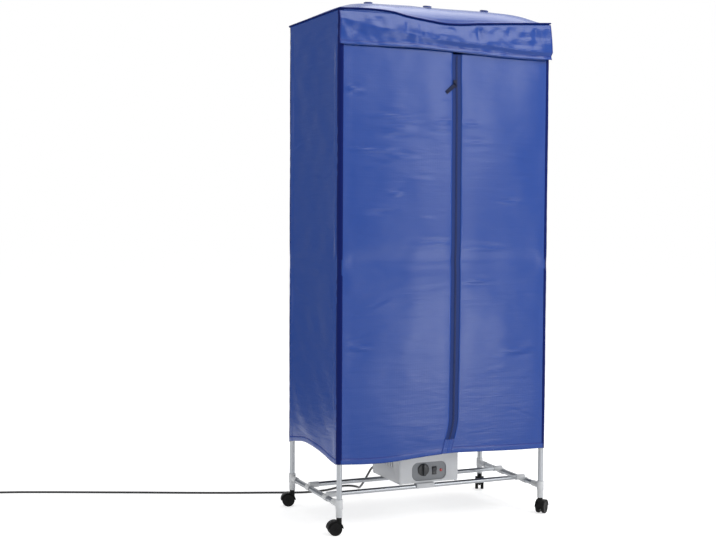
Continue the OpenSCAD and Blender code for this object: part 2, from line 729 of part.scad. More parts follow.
// Clockwork timer and the switch body, screwed behind the panel
module timer_unit() {
    back = panel_back_y + 0.2;
    color("#8c8f92") {
        difference() {
            translate([knob_x - 21, back, knob_z - 22]) cube([42, 34, 44]);
            translate([knob_x, back, knob_z]) bar_y(30, shaft_r + run_fit);
        }
        translate([rocker_x - rocker_w / 2 - 2.5, back + 5.6, window_z - rocker_h / 2 - 2])
            cube([rocker_w + 5, 18, rocker_h + 4]);
        difference() {
            for (s = [-1, 1]) translate([rocker_x + s * (rocker_w / 2 + 2.4), back + 3.3, window_z])
                cube([2.4, 6.6, 6], center = true);
            translate([rocker_x, rocker_pin_y, window_z])
                bar_x(rocker_w + 10, rocker_pin_r + run_fit);
        }
    }
}
module fan_motor() {
    color("#9aa0a6") translate([0, heater_mid_y, motor_z]) {
        cylinder(h = motor_h, r = motor_r);
        cylinder(h = motor_h + 4, r = 8);
        cylinder(h = fan_z + fan_h - 6 - motor_z, r = fan_shaft_r);
    }
}
module fan_rotor() {
    color("#2a2c30") translate([0, heater_mid_y, fan_z]) difference() {
        union() {
            cylinder(h = fan_h - 2, r = fan_hub_r);
            for (i = [0:fan_blades - 1]) rotate([0, 0, i * 360 / fan_blades])
                intersection() {
                    translate([fan_hub_r - 4 + (fan_d / 2 - fan_hub_r) / 2, 0, fan_h / 2])
                        rotate([35, 0, 0]) cube([fan_d / 2 - fan_hub_r + 6, 2, fan_h + 4], center = true);
                    cylinder(h = fan_h, r = fan_d / 2 - 1);
                }
        }
        translate([0, 0, -1]) cylinder(h = fan_h - 4, r = fan_shaft_r + run_fit);
    }
}
// A ceramic element: a frame with a honeycomb of fins, on four posts
module heating_element() {
    fins = 11;
    color("#b9b3a4") translate([0, heater_mid_y, element_z]) {
        difference() {
            translate([0, 0, element_h / 2])
                cube([2 * element_half, 2 * element_half, element_h], center = true);
            translate([0, 0, element_h / 2])
                cube([2 * element_half - 12, 2 * element_half - 12, element_h + 2], center = true);
        }
        for (i = [1:fins]) translate([-element_half + 6 + i * (2 * element_half - 12) / (fins + 1), 0,
            element_h / 2]) cube([2, 2 * element_half - 11, element_h - 4], center = true);
        for (sx = [-1, 1], sy = [-1, 1]) translate([sx * (element_half + 3), sy * (element_half - 8), 0])
            translate([0, 0, (heater_bottom_z + base_plate_t - element_z + element_h) / 2])
                cube([8, 8, element_h + element_z - heater_bottom_z - base_plate_t], center = true);
    }
}
module outlet_grille() {
    color(black_colour) translate([0, heater_mid_y, heater_top_z - 1]) {
        difference() {
            cylinder(h = grille_t, r = grille_r);
            translate([0, 0, -1]) cylinder(h = grille_t + 2, r = grille_r - 4);
        }
        for (r = [14:13:grille_r - 8]) difference() {
            cylinder(h = grille_t - 0.6, r = r + 1);
            translate([0, 0, -1]) cylinder(h = grille_t + 2, r = r - 1);
        }
        for (i = [0:3]) rotate([0, 0, 22.5 + i * 45]) translate([0, 0, (grille_t - 0.6) / 2])
            cube([2 * grille_r - 4, 2.4, grille_t - 0.6], center = true);
    }
}
// Clips under the heater, hooked over the cross rails
module rail_clips() {
    color(joint_colour) for (y = [front_cross_y, back_cross_y])
        translate([clip_x, y, 0]) difference() {
            translate([-clip_w / 2, -clip_half, cross_rail_z - 5])
                cube([clip_w, 2 * clip_half, heater_bottom_z - cross_rail_z + 5]);
            translate([0, 0, cross_rail_z]) bar_x(clip_w + 2, rod_r + tube_fit);
            translate([-clip_w / 2 - 1, -rod_r - tube_fit, cross_rail_z - 20])
                cube([clip_w + 2, rod_d + 2 * tube_fit, 20]);
        }
}
module heater_screws() {
    color(chrome_colour) for (sx = [-1, 1], sy = [-1, 1])
        translate([sx * boss_x, heater_mid_y + sy * boss_y, heater_bottom_z]) {
            translate([0, 0, -2]) cylinder(h = 2, r = screw_head_r);
            translate([0, 0, -eps]) cylinder(h = 16, r = screw_r - 0.05);
        }
}
module cord_relief() {
    color(black_colour) translate([relief_x, heater_back_y, relief_z]) rotate([-90, 0, 0]) {
        translate([0, 0, -shell_t - 3]) cylinder(h = 3, r = relief_r + 2);
        translate([0, 0, -shell_t]) cylinder(h = shell_t + 0.5, r = relief_r);
        cylinder(h = 2.5, r = relief_r + 1.5);
        translate([0, 0, 2]) cylinder(h = relief_len - 2, r1 = relief_r, r2 = cord_r + 0.8);
    }
}

// ---- Cord and plug ----
function spline(a, b, c, d, t) = 0.5 * (2 * b + (c - a) * t + (2 * a - 5 * b + 4 * c - d) * t * t
    + (3 * b - a - 3 * c + d) * t * t * t);
function cord_path() = let (n = len(CORD), P = concat([2 * CORD[0] - CORD[1]], CORD,
    [2 * CORD[n - 1] - CORD[n - 2]])) concat(
    [for (i = [0:n - 2], k = [0:cord_steps - 1])
        spline(P[i], P[i + 1], P[i + 2], P[i + 3], k / cord_steps)], [CORD[n - 1]]);
module power_cord() {
    path = cord_path();
    last = len(path) - 1;
    function unit(v) = v / norm(v);
    function heading(i) = i == 0 ? [0, 1, 0]
        : i == last ? unit([cos(plug_heading), sin(plug_heading), 0])
        : unit(path[i + 1] - path[i - 1]);
    points = [for (i = [0:last]) let (t = heading(i), a = unit(cross(t, [0, 0, 1])), b = cross(a, t))
        each [for (k = [0:cord_sides - 1]) let (w = 360 * (k + 0.5) / cord_sides)
            path[i] + cord_r * (cos(w) * a + sin(w) * b)]];
    faces = concat(
        [[for (k = [cord_sides - 1:-1:0]) k]],
        [[for (k = [0:cord_sides - 1]) last * cord_sides + k]],
        [for (i = [0:last - 1], k = [0:cord_sides - 1])
            let (a = i * cord_sides, n = (k + 1) % cord_sides)
            each [[a + k, a + n, a + cord_sides + n], [a + k, a + cord_sides + n, a + cord_sides + k]]]);
    color(black_colour) polyhedron(points = points, faces = faces, convexity = 10);
}
// A moulded two-pin plug that lies on its side at the cord's end
module plug() {
    body_r = 18.5;
    color(black_colour) translate(CORD[len(CORD) - 1]) rotate([0, 0, plug_heading]) rotate([0, 90, 0]) {
        cylinder(h = 20, r1 = cord_r + 0.8, r2 = 8);
        translate([0, 0, 19]) cylinder(h = 14, r1 = 11, r2 = body_r - 1);
        translate([0, 0, 32]) cylinder(h = 8, r = body_r);
        for (s = [-1, 1]) translate([0, s * 9.5, 38]) cylinder(h = 21, r = 2.4);
    }
}

// ---- One line for each node ----
leg_lower(CORNERS[0]);  // leg_lower_fl
leg_lower(CORNERS[1]);  // leg_lower_fr
leg_lower(CORNERS[2]);  // leg_lower_bl
leg_lower(CORNERS[3]);  // leg_lower_br
upper_legs();
leg_joints();
base_connectors();
top_connectors();
base_rail(-1);  // base_rail_left
base_rail(1);  // base_rail_right
cross_rail(front_cross_y);  // cross_rail_front
cross_rail(back_cross_y);  // cross_rail_back
rail_tees();
mid_rails();
top_rails();
upper_rods();
lower_rods();
caster_hood(CORNERS[0]);  // caster_fl_hood
caster_wheel(CORNERS[0], -1);  // caster_fl_wheel_a
caster_wheel(CORNERS[0], 1);  // caster_fl_wheel_b
caster_hood(CORNERS[1]);  // caster_fr_hood
caster_wheel(CORNERS[1], -1);  // caster_fr_wheel_a
caster_wheel(CORNERS[1], 1);  // caster_fr_wheel_b
caster_hood(CORNERS[2]);  // caster_bl_hood
caster_wheel(CORNERS[2], -1);  // caster_bl_wheel_a
caster_wheel(CORNERS[2], 1);  // caster_bl_wheel_b
caster_hood(CORNERS[3]);  // caster_br_hood
caster_wheel(CORNERS[3], -1);  // caster_br_wheel_a
caster_wheel(CORNERS[3], 1);  // caster_br_wheel_b
cover_top();
cover_left();
cover_right();
cover_back();
cover_header();
corner_bindings();
top_piping();
vent_caps();
door_left();
door_right();
front_flap();
zip_tape_left();
zip_tape_right();
zip_slider();
zip_pull();
heater_base();
heater_cover();
control_panel();
timer_knob();
power_rocker();
indicator_lens();
timer_unit();
fan_motor();
fan_rotor();
heating_element();
outlet_grille();
rail_clips();
heater_screws();
cord_relief();
power_cord();
plug();
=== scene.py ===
"""Dresses a portable clothes-drying cabinet: cover, plated tubes, casters, heater and cord."""
import math

import bmesh
import bpy
import numpy as np
from mathutils import Matrix, Vector


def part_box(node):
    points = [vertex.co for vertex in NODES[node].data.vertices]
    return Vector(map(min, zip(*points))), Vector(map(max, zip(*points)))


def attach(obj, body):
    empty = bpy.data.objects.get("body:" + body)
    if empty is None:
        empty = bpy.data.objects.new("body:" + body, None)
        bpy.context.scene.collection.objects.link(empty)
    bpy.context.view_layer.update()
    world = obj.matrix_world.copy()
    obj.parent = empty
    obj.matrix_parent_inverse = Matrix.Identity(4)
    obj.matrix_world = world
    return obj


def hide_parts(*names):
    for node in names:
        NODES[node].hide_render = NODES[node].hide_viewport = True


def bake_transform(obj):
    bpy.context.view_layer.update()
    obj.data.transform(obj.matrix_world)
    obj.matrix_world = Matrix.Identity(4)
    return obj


bl_info = {
    "name": "Drying Cabinet",
    "version": (1, 0, 0),
    "blender": (4, 5, 0),
    "location": "View3D > Sidebar > Cabinet",
    "description": "Builds the cover, frame finish, casters, heater and cord of a drying cabinet",
    "category": "Add Mesh",
}

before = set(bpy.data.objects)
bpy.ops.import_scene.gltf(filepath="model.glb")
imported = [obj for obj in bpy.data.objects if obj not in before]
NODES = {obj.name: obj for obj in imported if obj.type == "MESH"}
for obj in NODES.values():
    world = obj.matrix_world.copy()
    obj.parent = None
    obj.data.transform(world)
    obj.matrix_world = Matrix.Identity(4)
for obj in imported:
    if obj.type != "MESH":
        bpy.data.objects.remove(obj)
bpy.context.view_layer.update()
MM = 0.001

# Sizes that come from the frame, in millimetres


def node_box(name):
    """Lowest and highest corner of a CAD node, in millimetres."""
    low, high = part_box(name)
    return [c / MM for c in low], [c / MM for c in high]


# Half the cover's width and depth, and the height of its crown
COVER_X, COVER_Y, CROWN_Z = node_box("cover_top")[1]
# A sewing gap, and the corner lines that the walls and doors end beside
SEAM_GAP = 0.3
LEG_X = node_box("cover_back")[1][0] + SEAM_GAP
LEG_Y = node_box("cover_left")[1][1] + SEAM_GAP
ROOF_Z = node_box("cover_left")[1][2]
ZIP_LEFT = node_box("door_left")[1][0]
ZIP_RIGHT = node_box("door_right")[0][0]
ZIP_X = (ZIP_LEFT + ZIP_RIGHT) / 2
HALF_ZIP = (ZIP_RIGHT - ZIP_LEFT) / 2
MID_JOINT_Z = sum(c[2] for c in node_box("lower_rods")) / 2
# Thickness of the cloth, and how far its panels end inside the corner lines
CLOTH = 1.1
EDGE_GAP = 0.2


# Colours, nodes and materials


def linear(code):
    """An sRGB hex colour such as "2f4fa8" as linear red, green, blue and an alpha of 1."""
    parts = [int(code[i:i + 2], 16) / 255 for i in (0, 2, 4)]
    return [c / 12.92 if c <= 0.04045 else ((c + 0.055) / 1.055) ** 2.4 for c in parts] + [1.0]


def add_node(tree, kind, settings=None, **links):
    """Adds one shader node. settings holds attributes and input values, links what feeds it.

    A link called i2 feeds the third input; any other is the input's name.
    """
    made = tree.nodes.new("ShaderNode" + kind)
    for key, value in (settings or {}).items():
        if isinstance(key, int) or key in made.inputs:
            made.inputs[key].default_value = value
        else:
            setattr(made, key, value)
    for key, socket in links.items():
        numbered = key[0] == "i" and key[1:].isdigit()
        tree.links.new(socket, made.inputs[int(key[1:]) if numbered else key.replace("_", " ")])
    return made


def new_material(name, code, roughness, **extra):
    """A material with one Principled shader. Returns the material, its tree and the shader."""
    material = bpy.data.materials.new(name)
    material.use_nodes = True
    tree = material.node_tree
    shader = tree.nodes["Principled BSDF"]
    shader.inputs["Base Color"].default_value = linear(code)
    shader.inputs["Roughness"].default_value = roughness
    for key, value in extra.items():
        shader.inputs[key].default_value = value
    material.diffuse_color = linear(code)
    return material, tree, shader


def grain_bump(tree, shader, scale, strength, distance, stretch=(1, 1, 1)):
    """Fine relief from noise. scale is in grains per metre before the stretch."""
    place = add_node(tree, "TexCoord")
    stretched = add_node(tree, "Mapping", {"Scale": stretch}, Vector=place.outputs["Object"])
    noise = add_node(tree, "TexNoise", {"Scale": scale, "Detail": 3.0},
                     Vector=stretched.outputs[0])
    bump = add_node(tree, "Bump", {"Strength": strength, "Distance": distance},
                    Height=noise.outputs[0])
    tree.links.new(bump.outputs[0], shader.inputs["Normal"])


# Ribs of the weave, and the depth of a seam's stitches, in metres
RIB_PITCH = 0.00754
RIB_HEIGHT = 0.000018
STITCH_DEPTH = 0.0003
THREAD_COLOUR = "0e2c80"
# Length of one band of Blender's wave texture at a scale of 1
WAVE_BAND = 0.314


def taffeta(code):
    """Woven polyester taffeta, calendered: smooth, with a broad soft gloss and fine creasing.

    The UV map holds the cut cloth in metres. The weave shows as faint ribs, far coarser
    than its threads.
    """
    material, tree, shader = new_material("polyester_taffeta", code, 0.26, IOR=1.39)
    uv = add_node(tree, "UVMap").outputs[0]
    sources = [(add_node(tree, "TexWave", {
        "bands_direction": axis, "Scale": WAVE_BAND / RIB_PITCH, "Distortion": 0.6, "Detail": 1.0},
        Vector=uv).outputs["Fac"], RIB_HEIGHT) for axis in "XY"]
    # sharp creases across the cloth, and soft folds
    for scale, settings, height in (
            ((9, 60, 1), {"Detail": 4.0, "Roughness": 0.55, "Distortion": 0.35}, 0.0006),
            ((6, 9, 1), {"Detail": 2.0}, 0.002)):
        stretched = add_node(tree, "Mapping", {"Scale": scale}, Vector=uv)
        noise = add_node(tree, "TexNoise", {"Scale": 1.0, **settings},
                         Vector=stretched.outputs[0])
        sources.append((noise.outputs[0], height))
    seam = add_node(tree, "Attribute", {"attribute_name": "seam"}).outputs["Fac"]
    sources.append((seam, -STITCH_DEPTH))
    total = None
    for source, height in sources:
        scaled = add_node(tree, "Math", {"operation": "MULTIPLY", 1: height}, i0=source)
        total = scaled if total is None else add_node(
            tree, "Math", {"operation": "ADD"}, i0=total.outputs[0], i1=scaled.outputs[0])
    bump = add_node(tree, "Bump", {"Strength": 1.0, "Distance": 1.0}, Height=total.outputs[0])
    tree.links.new(bump.outputs[0], shader.inputs["Normal"])
    # thread and needle holes draw a dark line along each seam; inputs 6 and 7 are its two colours
    line = add_node(tree, "Mix", {"data_type": "RGBA", "clamp_factor": True, 6: linear(code),
                                  7: linear(THREAD_COLOUR)}, Factor=seam)
    tree.links.new(line.outputs[2], shader.inputs["Base Color"])
    return material


MATERIALS = {}


def make_materials(colours):
    """All finishes, named for what they are."""
    # Calendered polyester taffeta: even blue, a broad soft gloss
    MATERIALS["cover"] = taffeta(colours.cloth)
    # key, name, colour, roughness, other inputs, and what grain_bump takes where there is grain
    for key, name, code, roughness, extra, *grain in (
            # Woven polyester binding tape: darker, duller, fine cross ribs
            ("binding", "woven_binding_tape", colours.binding, 0.7, {"IOR": 1.2},
             900, 0.35, 0.0003),
            # Woven zip tape with a herringbone too fine to see: matt and dark
            ("tape", "woven_zip_tape", colours.zip_tape, 0.6, {"IOR": 1.3},
             1200, 0.3, 0.0002, (1, 1, 0.3)),
            # Moulded acetal teeth: smooth, dark, a small sharp gloss
            ("teeth", "moulded_acetal_teeth", "0f2258", 0.4, {"IOR": 1.35}),
            # Lacquered zinc casting: dark navy, half gloss
            ("slider", "lacquered_zinc", "0a1434", 0.5, {"IOR": 1.3}),
            # Chromed steel tube: bright, slightly soft reflections
            ("chrome", "chromed_steel", "a1a4a8", 0.34, {"Metallic": 1.0},
             260, 0.04, 0.0004, (1, 1, 0.1)),
            # Moulded ABS sockets: pale grey, satin
            ("socket", "moulded_abs_grey", "cfd1d3", 0.42, {}, 1600, 0.06, 0.0002),
            # Glass-filled nylon: near black, satin with faint grain
            ("nylon", "black_nylon", "050506", 0.5, {"IOR": 1.25}, 1400, 0.08, 0.0002),
            # Moulded polypropylene shell: light grey, fine spark texture
            ("shell", "moulded_polypropylene_shell", "d6d8da", 0.45, {}, 1500, 0.12, 0.0003),
            # Painted ABS panel: mid grey, satin
            ("panel", "painted_abs_panel", "83868a", 0.4, {}),
            # Moulded ABS knob: dark grey, satin
            ("knob", "moulded_abs_dark", "2b2d30", 0.36, {}),
            # Printed marks: matt pale ink
            ("ink", "pale_pad_print", "d9dbdd", 0.7, {}),
            # Clear red styrene lens: glossy
            ("lens", "red_styrene_lens", "b32018", 0.15, {"Coat Weight": 0.5}),
            # Moulded PVC of the plug, the relief and the cord's sheath: black, soft gloss
            ("pvc", "black_pvc", "111113", 0.45, {}),
            # Nickel-plated brass pins
            ("pins", "nickel_plated_brass", "c8c4bb", 0.25, {"Metallic": 1.0}),
            # Galvanised steel motor can
            ("motor", "galvanised_steel", "9a9fa4", 0.45, {"Metallic": 1.0}),
            # Steatite heating element: matt, buff
            ("ceramic", "steatite_ceramic", "b9b3a4", 0.7, {}),
            # Moulded vent caps: satin mid blue
            ("vent", "moulded_vent_cap", "3a4a86", 0.45, {})):
        MATERIALS[key], tree, shader = new_material(name, code, roughness, **extra)
        if grain:
            grain_bump(tree, shader, *grain)


# Pieces


def add_object(name, data):
    """Puts a mesh, curve, lamp or camera in the scene."""
    made = bpy.data.objects.new(name, data)
    bpy.context.scene.collection.objects.link(made)
    return made


def add_piece(name, shape, body, material, replaced=None, smooth=True):
    """Puts a mesh or curve in the scene, on its body and in place of a CAD node.
    """
    piece = add_object(name, shape)
    shape.materials.append(MATERIALS[material])
    if smooth:
        shape.polygons.foreach_set("use_smooth", [True] * len(shape.polygons))
    if body:
        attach(piece, body)
    if replaced:
        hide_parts(replaced)
    return piece


def finish_mesh(work, name):
    """Turns finished bmesh work into a mesh."""
    mesh = bpy.data.meshes.new(name)
    work.to_mesh(mesh)
    work.free()
    return mesh


def round_curve(name, kind, radius, rings, count):
    """A round tube along one spline of count points. Returns the curve and the spline."""
    curve = bpy.data.curves.new(name, "CURVE")
    curve.dimensions = "3D"
    curve.bevel_depth = radius
    curve.bevel_resolution = rings
    spline = curve.splines.new(kind)
    (spline.bezier_points if kind == "BEZIER" else spline.points).add(count - 1)
    return curve, spline


def finish_node(name, material):
    """Gives a CAD node that is shown as it is its finish."""
    node = NODES[name]
    node.data.materials.clear()
    node.data.materials.append(MATERIALS[material])


def soften(name, body, slot, material, width, angle=35, piece_name=None):
    """A copy of a CAD node with its edges sharper than angle rounded by width millimetres."""
    piece_name = piece_name or name + "_finished"
    work = bmesh.new()
    work.from_mesh(NODES[name].data)
    bmesh.ops.remove_doubles(work, verts=work.verts, dist=2e-6)
    bmesh.ops.dissolve_limit(work, angle_limit=math.radians(0.5), verts=work.verts,
                             edges=work.edges)
    sharp = [e for e in work.edges if len(e.link_faces) == 2
             and e.calc_face_angle(0) > math.radians(angle)]
    bmesh.ops.bevel(work, geom=sharp, offset=width * MM, offset_type="OFFSET", segments=2,
                    profile=0.5, affect="EDGES", clamp_overlap=True, material=-1)
    mesh = finish_mesh(work, piece_name)
    piece = add_piece(piece_name, mesh, body, material, name)
    mesh.set_sharp_from_angle(angle=math.radians(40))
    return piece


def moved_grid(name, columns, rows, place):
    """A grid whose points place() moves from (0..1, 0..1) to millimetres, with a UV map in metres.

    place returns the points and the flat cut's u and v, all in millimetres. Returns the mesh
    and the points' places in the grid.
    """
    work = bmesh.new()
    layer = work.loops.layers.uv.new("UVMap")
    bmesh.ops.create_grid(work, x_segments=columns, y_segments=rows, size=0.5)
    work.verts.ensure_lookup_table()
    flat = np.array([v.co[:2] for v in work.verts]) + 0.5
    points, u, v = place(np.clip(flat[:, 0], 0, 1), np.clip(flat[:, 1], 0, 1))
    for vert, point in zip(work.verts, points):
        vert.co = Vector(point) * MM
    for face in work.faces:
        for loop in face.loops:
            loop[layer].uv = (u[loop.vert.index] * MM, v[loop.vert.index] * MM)
    return finish_mesh(work, name), flat


def add_block(work, spot, size, turn=0):
    """Adds a block of a size in millimetres at a spot, turned about the depth axis."""
    place = Matrix.Translation(Vector(spot) * MM) @ Matrix.Rotation(turn, 4, "Y")
    bmesh.ops.create_cube(work, size=1, matrix=place @ Matrix.Diagonal((*Vector(size) * MM, 1)))


def add_seam(mesh, values):
    """Stores how deep each point lies in a stitched seam, from 0 to 1."""
    layer = mesh.attributes.new("seam", "FLOAT", "POINT")
    layer.data.foreach_set("value", np.asarray(values, dtype=np.float32))


def mesh_points(mesh):
    """A mesh's points in millimetres."""
    co = np.empty(len(mesh.vertices) * 3)
    mesh.vertices.foreach_get("co", co)
    return co.reshape(-1, 3) / MM


def hill(v, centre, width):
    """1 at the centre, falling smoothly to 0 on both sides."""
    return np.exp(-((v - centre) / width) ** 2)


def stitch_hem(mesh, hem, axis):
    """Marks the stitches above a hem. axis is the direction its table runs in, 0 or 1."""
    points = mesh_points(mesh)
    add_seam(mesh, hill(points[:, 2] - along(hem, points[:, axis]), HEM_STITCH, STITCH_WIDTH))


def thicken(piece, thickness):
    """Gives a sheet its thickness in millimetres, behind its face."""
    solid = piece.modifiers.new("cloth_thickness", "SOLIDIFY")
    solid.thickness = thickness * MM
    solid.offset = -1


# How the cloth hangs. Heights and places are in millimetres; tables give place, height.

# Height of the front top edge, from left to right
TOP_EDGE = ((-352, 1526), (-334, 1526.3), (-287, 1528.3), (-231, 1528.4), (-176, 1524),
            (-141, 1517), (-102, 1511.6), (-56, 1506), (-15, 1502), (30, 1502.2), (105, 1508.5),
            (243, 1518), (352, 1524.5))
# Height of the flap's lower edge
FLAP_EDGE = ((-352, 1423.5), (-178, 1424.5), (-104, 1425), (-9, 1421.5), (137, 1414.8),
             (223, 1411.8), (352, 1411.3))
# Height of the crease where the flap folds under
FLAP_CREASE = ((-352, 1497), (-322, 1491), (-259, 1481), (-180, 1470), (-66, 1455), (17, 1449),
               (101, 1447), (180, 1441), (239, 1436), (352, 1434))
# Height of the front hem
FRONT_HEM = ((-352, 208.7), (-248, 203.6), (-167, 203.8), (-117, 207.2), (-17, 214), (50, 216.6),
             (130, 214.4), (260, 210.2), (352, 209.5))
# Height of the side hem, from front to back
SIDE_HEM = ((-206, 206.5), (-164, 209.5), (-109, 218.6), (-52, 226.4), (6, 229.9), (75, 228.8),
            (136, 219.7), (206, 207.9))
# Height of the line the flap is lifted about
FLAP_HINGE_Z = 1518.5
# Height of the zip's lower end
ZIP_END_Z = 254
# Height of the stitches over a hem's edge, and half the width of a line of stitches
HEM_STITCH = 16
STITCH_WIDTH = 1.6
# Drop of the back top edge at its middle, and the diameter of a corner tube
BACK_SAG = 22
TUBE = 16
# Share of the front's creases that shows on the zip, which is stiffer
ZIP_RELIEF = 0.4
# Height and sideways drift of the zip near the hem
ZIP_DRIFT = ((200, -28), (235, -20), (270, -10), (296, -3.5), (314, -0.6), (330, 0), (420, 0))


def along(table, x):
    """A smooth curve through a table's points."""
    xs = np.array([p[0] for p in table], float)
    ys = np.array([p[1] for p in table], float)
    x = np.clip(x, xs[0], xs[-1])
    slopes = np.gradient(ys, xs)
    i = np.clip(np.searchsorted(xs, x) - 1, 0, len(xs) - 2)
    h = xs[i + 1] - xs[i]
    t = (x - xs[i]) / h
    return ((2 * t**3 - 3 * t**2 + 1) * ys[i] + (t**3 - 2 * t**2 + t) * h * slopes[i]
            + (-2 * t**3 + 3 * t**2) * ys[i + 1] + (t**3 - t**2) * h * slopes[i + 1])


def ease(x, low, high):
    """0 below low, 1 above high, smooth between."""
    t = np.clip((x - low) / (high - low), 0, 1)
    return t * t * (3 - 2 * t)


def waves(u, v, seed, lengths, count=9):
    """Soft uneven waves with about unit height. lengths are the wave lengths along u and v."""
    draw = np.random.RandomState(seed)
    total = np.zeros_like(u)
    for _ in range(count):
        turn = draw.uniform(-0.5, 0.5)
        scale = draw.uniform(0.7, 1.6)
        phase = draw.uniform(0, 2 * math.pi)
        a = u * math.cos(turn) + v * math.sin(turn)
        b = v * math.cos(turn) - u * math.sin(turn)
        passed = a / lengths[0] + draw.choice([-1, 1]) * b / lengths[1]
        total += np.sin(2 * math.pi * scale * passed + phase)
    return total / math.sqrt(count)


def creases(u, v, rows):
    """Sharp-backed ridges. Each row is centre u, v, half length, width, turn in degrees, height."""
    total = np.zeros_like(u)
    for cu, cv, reach, width, turn, height in rows:
        angle = math.radians(turn)
        a = (u - cu) * math.cos(angle) + (v - cv) * math.sin(angle)
        b = (v - cv) * math.cos(angle) - (u - cu) * math.sin(angle)
        # each ridge is slightly bowed
        b += 0.00035 * a * a * math.sin(cu + cv)
        ridge = hill(b, 0, width) - 0.6 * hill(b, 1.6 * width, 1.4 * width)
        total += height * ridge * np.exp(-(a / reach) ** 2 * 1.2)
    return total


def scattered_creases(seed, count, u_range, v_range, height):
    """Short sideways creases strewn over a panel."""
    draw = np.random.RandomState(seed)
    # half length 18 to 60, width 4 to 8, turned about 7 degrees, two ridges to each furrow
    return [(draw.uniform(*u_range), draw.uniform(*v_range), draw.uniform(18, 60),
             draw.uniform(4, 8), draw.normal(0, 7),
             height * draw.uniform(0.35, 1.0) * draw.choice([-1, 1, 1])) for _ in range(count)]


# Creases that stand out on the front: centre across and up, half length, width, turn in
# degrees, height
FRONT_CREASES = (
    (-185, 1221, 66, 6.0, 1, 1.5), (-160, 1206, 60, 5.5, 2, 1.1), (-170, 1190, 52, 6, -2, 1.1),
    (-170, 1165, 44, 7, 1, -1.3), (-258, 1122, 60, 5, 1, 1.5), (-150, 1104, 44, 6, -5, 1.2),
    (-200, 1110, 50, 6, -4, -0.9), (-170, 996, 22, 5, 0, 1.2), (-224, 943, 42, 7, 0, -1.1),
    (-11, 1208, 36, 5, 1, 1.5), (70, 1203, 36, 5, -1, 1.2), (-20, 1180, 30, 5, 0, -0.8),
    (215, 972, 38, 6, 3, 1.2), (205, 981, 34, 5, 2, -0.8), (-30, 849, 50, 5.5, 0, 1.4),
    (123, 833, 62, 5.5, -1, 1.5), (107, 736, 46, 5, 0, 1.5), (95, 727, 60, 7, 1, -0.7),
    (-284, 545, 28, 6, 0, 1.3), (-284, 533, 34, 6, 0, -0.7), (252, 520, 46, 6, 1, 1.2),
    (250, 505, 40, 6, 1, -0.9), (-309, 1298, 26, 5, 2, 1.2), (-300, 1284, 30, 5, 1, -0.8),
    (-230, 1075, 40, 6, 3, 0.9), (-90, 1040, 34, 6, 0, 0.8), (90, 1150, 30, 5, 0, 0.9),
)


def fullness(v, half):
    """How far a panel may stand out across its width: 1 in its middle, 0 at its edges."""
    return np.clip(1 - (v / half) ** 2, 0, 1)


def pinch(z):
    """How strongly the cloth is drawn in at the frame's middle joint, 0 to 1."""
    return hill(z, MID_JOINT_Z, 17)


def front_depth(x, z, relief):
    """How far the front cloth stands out from its corner line, in millimetres."""
    # fullness across the front, flattest near the flap and the corners
    across = fullness(x, LEG_X)
    tall = ease(z, 330, 600) * (1 - ease(z, 1200, 1400))
    bulge = 5.0 * across * tall
    # each leaf is drawn towards the zip, so it dips a little beside it
    dip = -1.2 * hill(x, ZIP_X, 26)
    # drawn in along a band at half height, and at the corners beside the middle joints
    band = -3.2 * hill(z, MID_JOINT_Z + 14, 28) * (0.3 + 0.7 * across)
    band += -0.6 * pinch(z) * hill(np.abs(x), LEG_X, 60)
    edge = ease(LEG_X - np.abs(x), 0, 35)
    soft = 0.6 * waves(x, z, 3, (520, 900)) + 0.2 * waves(x, z, 8, (190, 380))
    fine = 1.3 * creases(x, z, FRONT_CREASES)
    fine += creases(x, z, scattered_creases(21, 30, (-330, 330), (240, 1390), 0.45))
    # creases fade towards the zip, and all relief under the flap
    fine = fine * (0.35 + 0.65 * ease(np.abs(x - ZIP_X), 2, 40))
    shown = 1 - ease(z, 1385, 1412)
    return (bulge + dip + edge * (band + soft) + edge * relief * fine) * shown


def zip_place(z):
    """Sideways place of the zip at a height."""
    return ZIP_X + along(ZIP_DRIFT, z)


def door_mesh(side, relief):
    """One leaf of the front, from its corner to the zip, hem to flap."""
    high = node_box("door_left" if side < 0 else "door_right")[1]
    corner = side * (LEG_X - EDGE_GAP)

    def place(s, t):
        s = 1 - s if side < 0 else s
        cut_x = corner + (ZIP_X + side * HALF_ZIP - corner) * (1 - s)
        hem = along(FRONT_HEM, cut_x)
        top = np.minimum(along(FLAP_EDGE, cut_x) - 2.0, high[2] - EDGE_GAP)
        z = hem + (top - hem) * t
        x = corner + (zip_place(z) + side * HALF_ZIP - corner) * (1 - s)
        depth = front_depth(x, z, relief) + hem_roll(z - hem)
        return np.stack([x, -COVER_Y - depth, z], axis=1), cut_x, z

    mesh, _ = moved_grid("door", int(abs(ZIP_X - corner) / 4), 300, place)
    stitch_hem(mesh, FRONT_HEM, 0)
    return mesh


def hem_roll(distance):
    """The turned hem is double, so it stands a little proud and puckers."""
    return 0.7 * (1 - ease(distance, HEM_STITCH - 2, HEM_STITCH + 2))


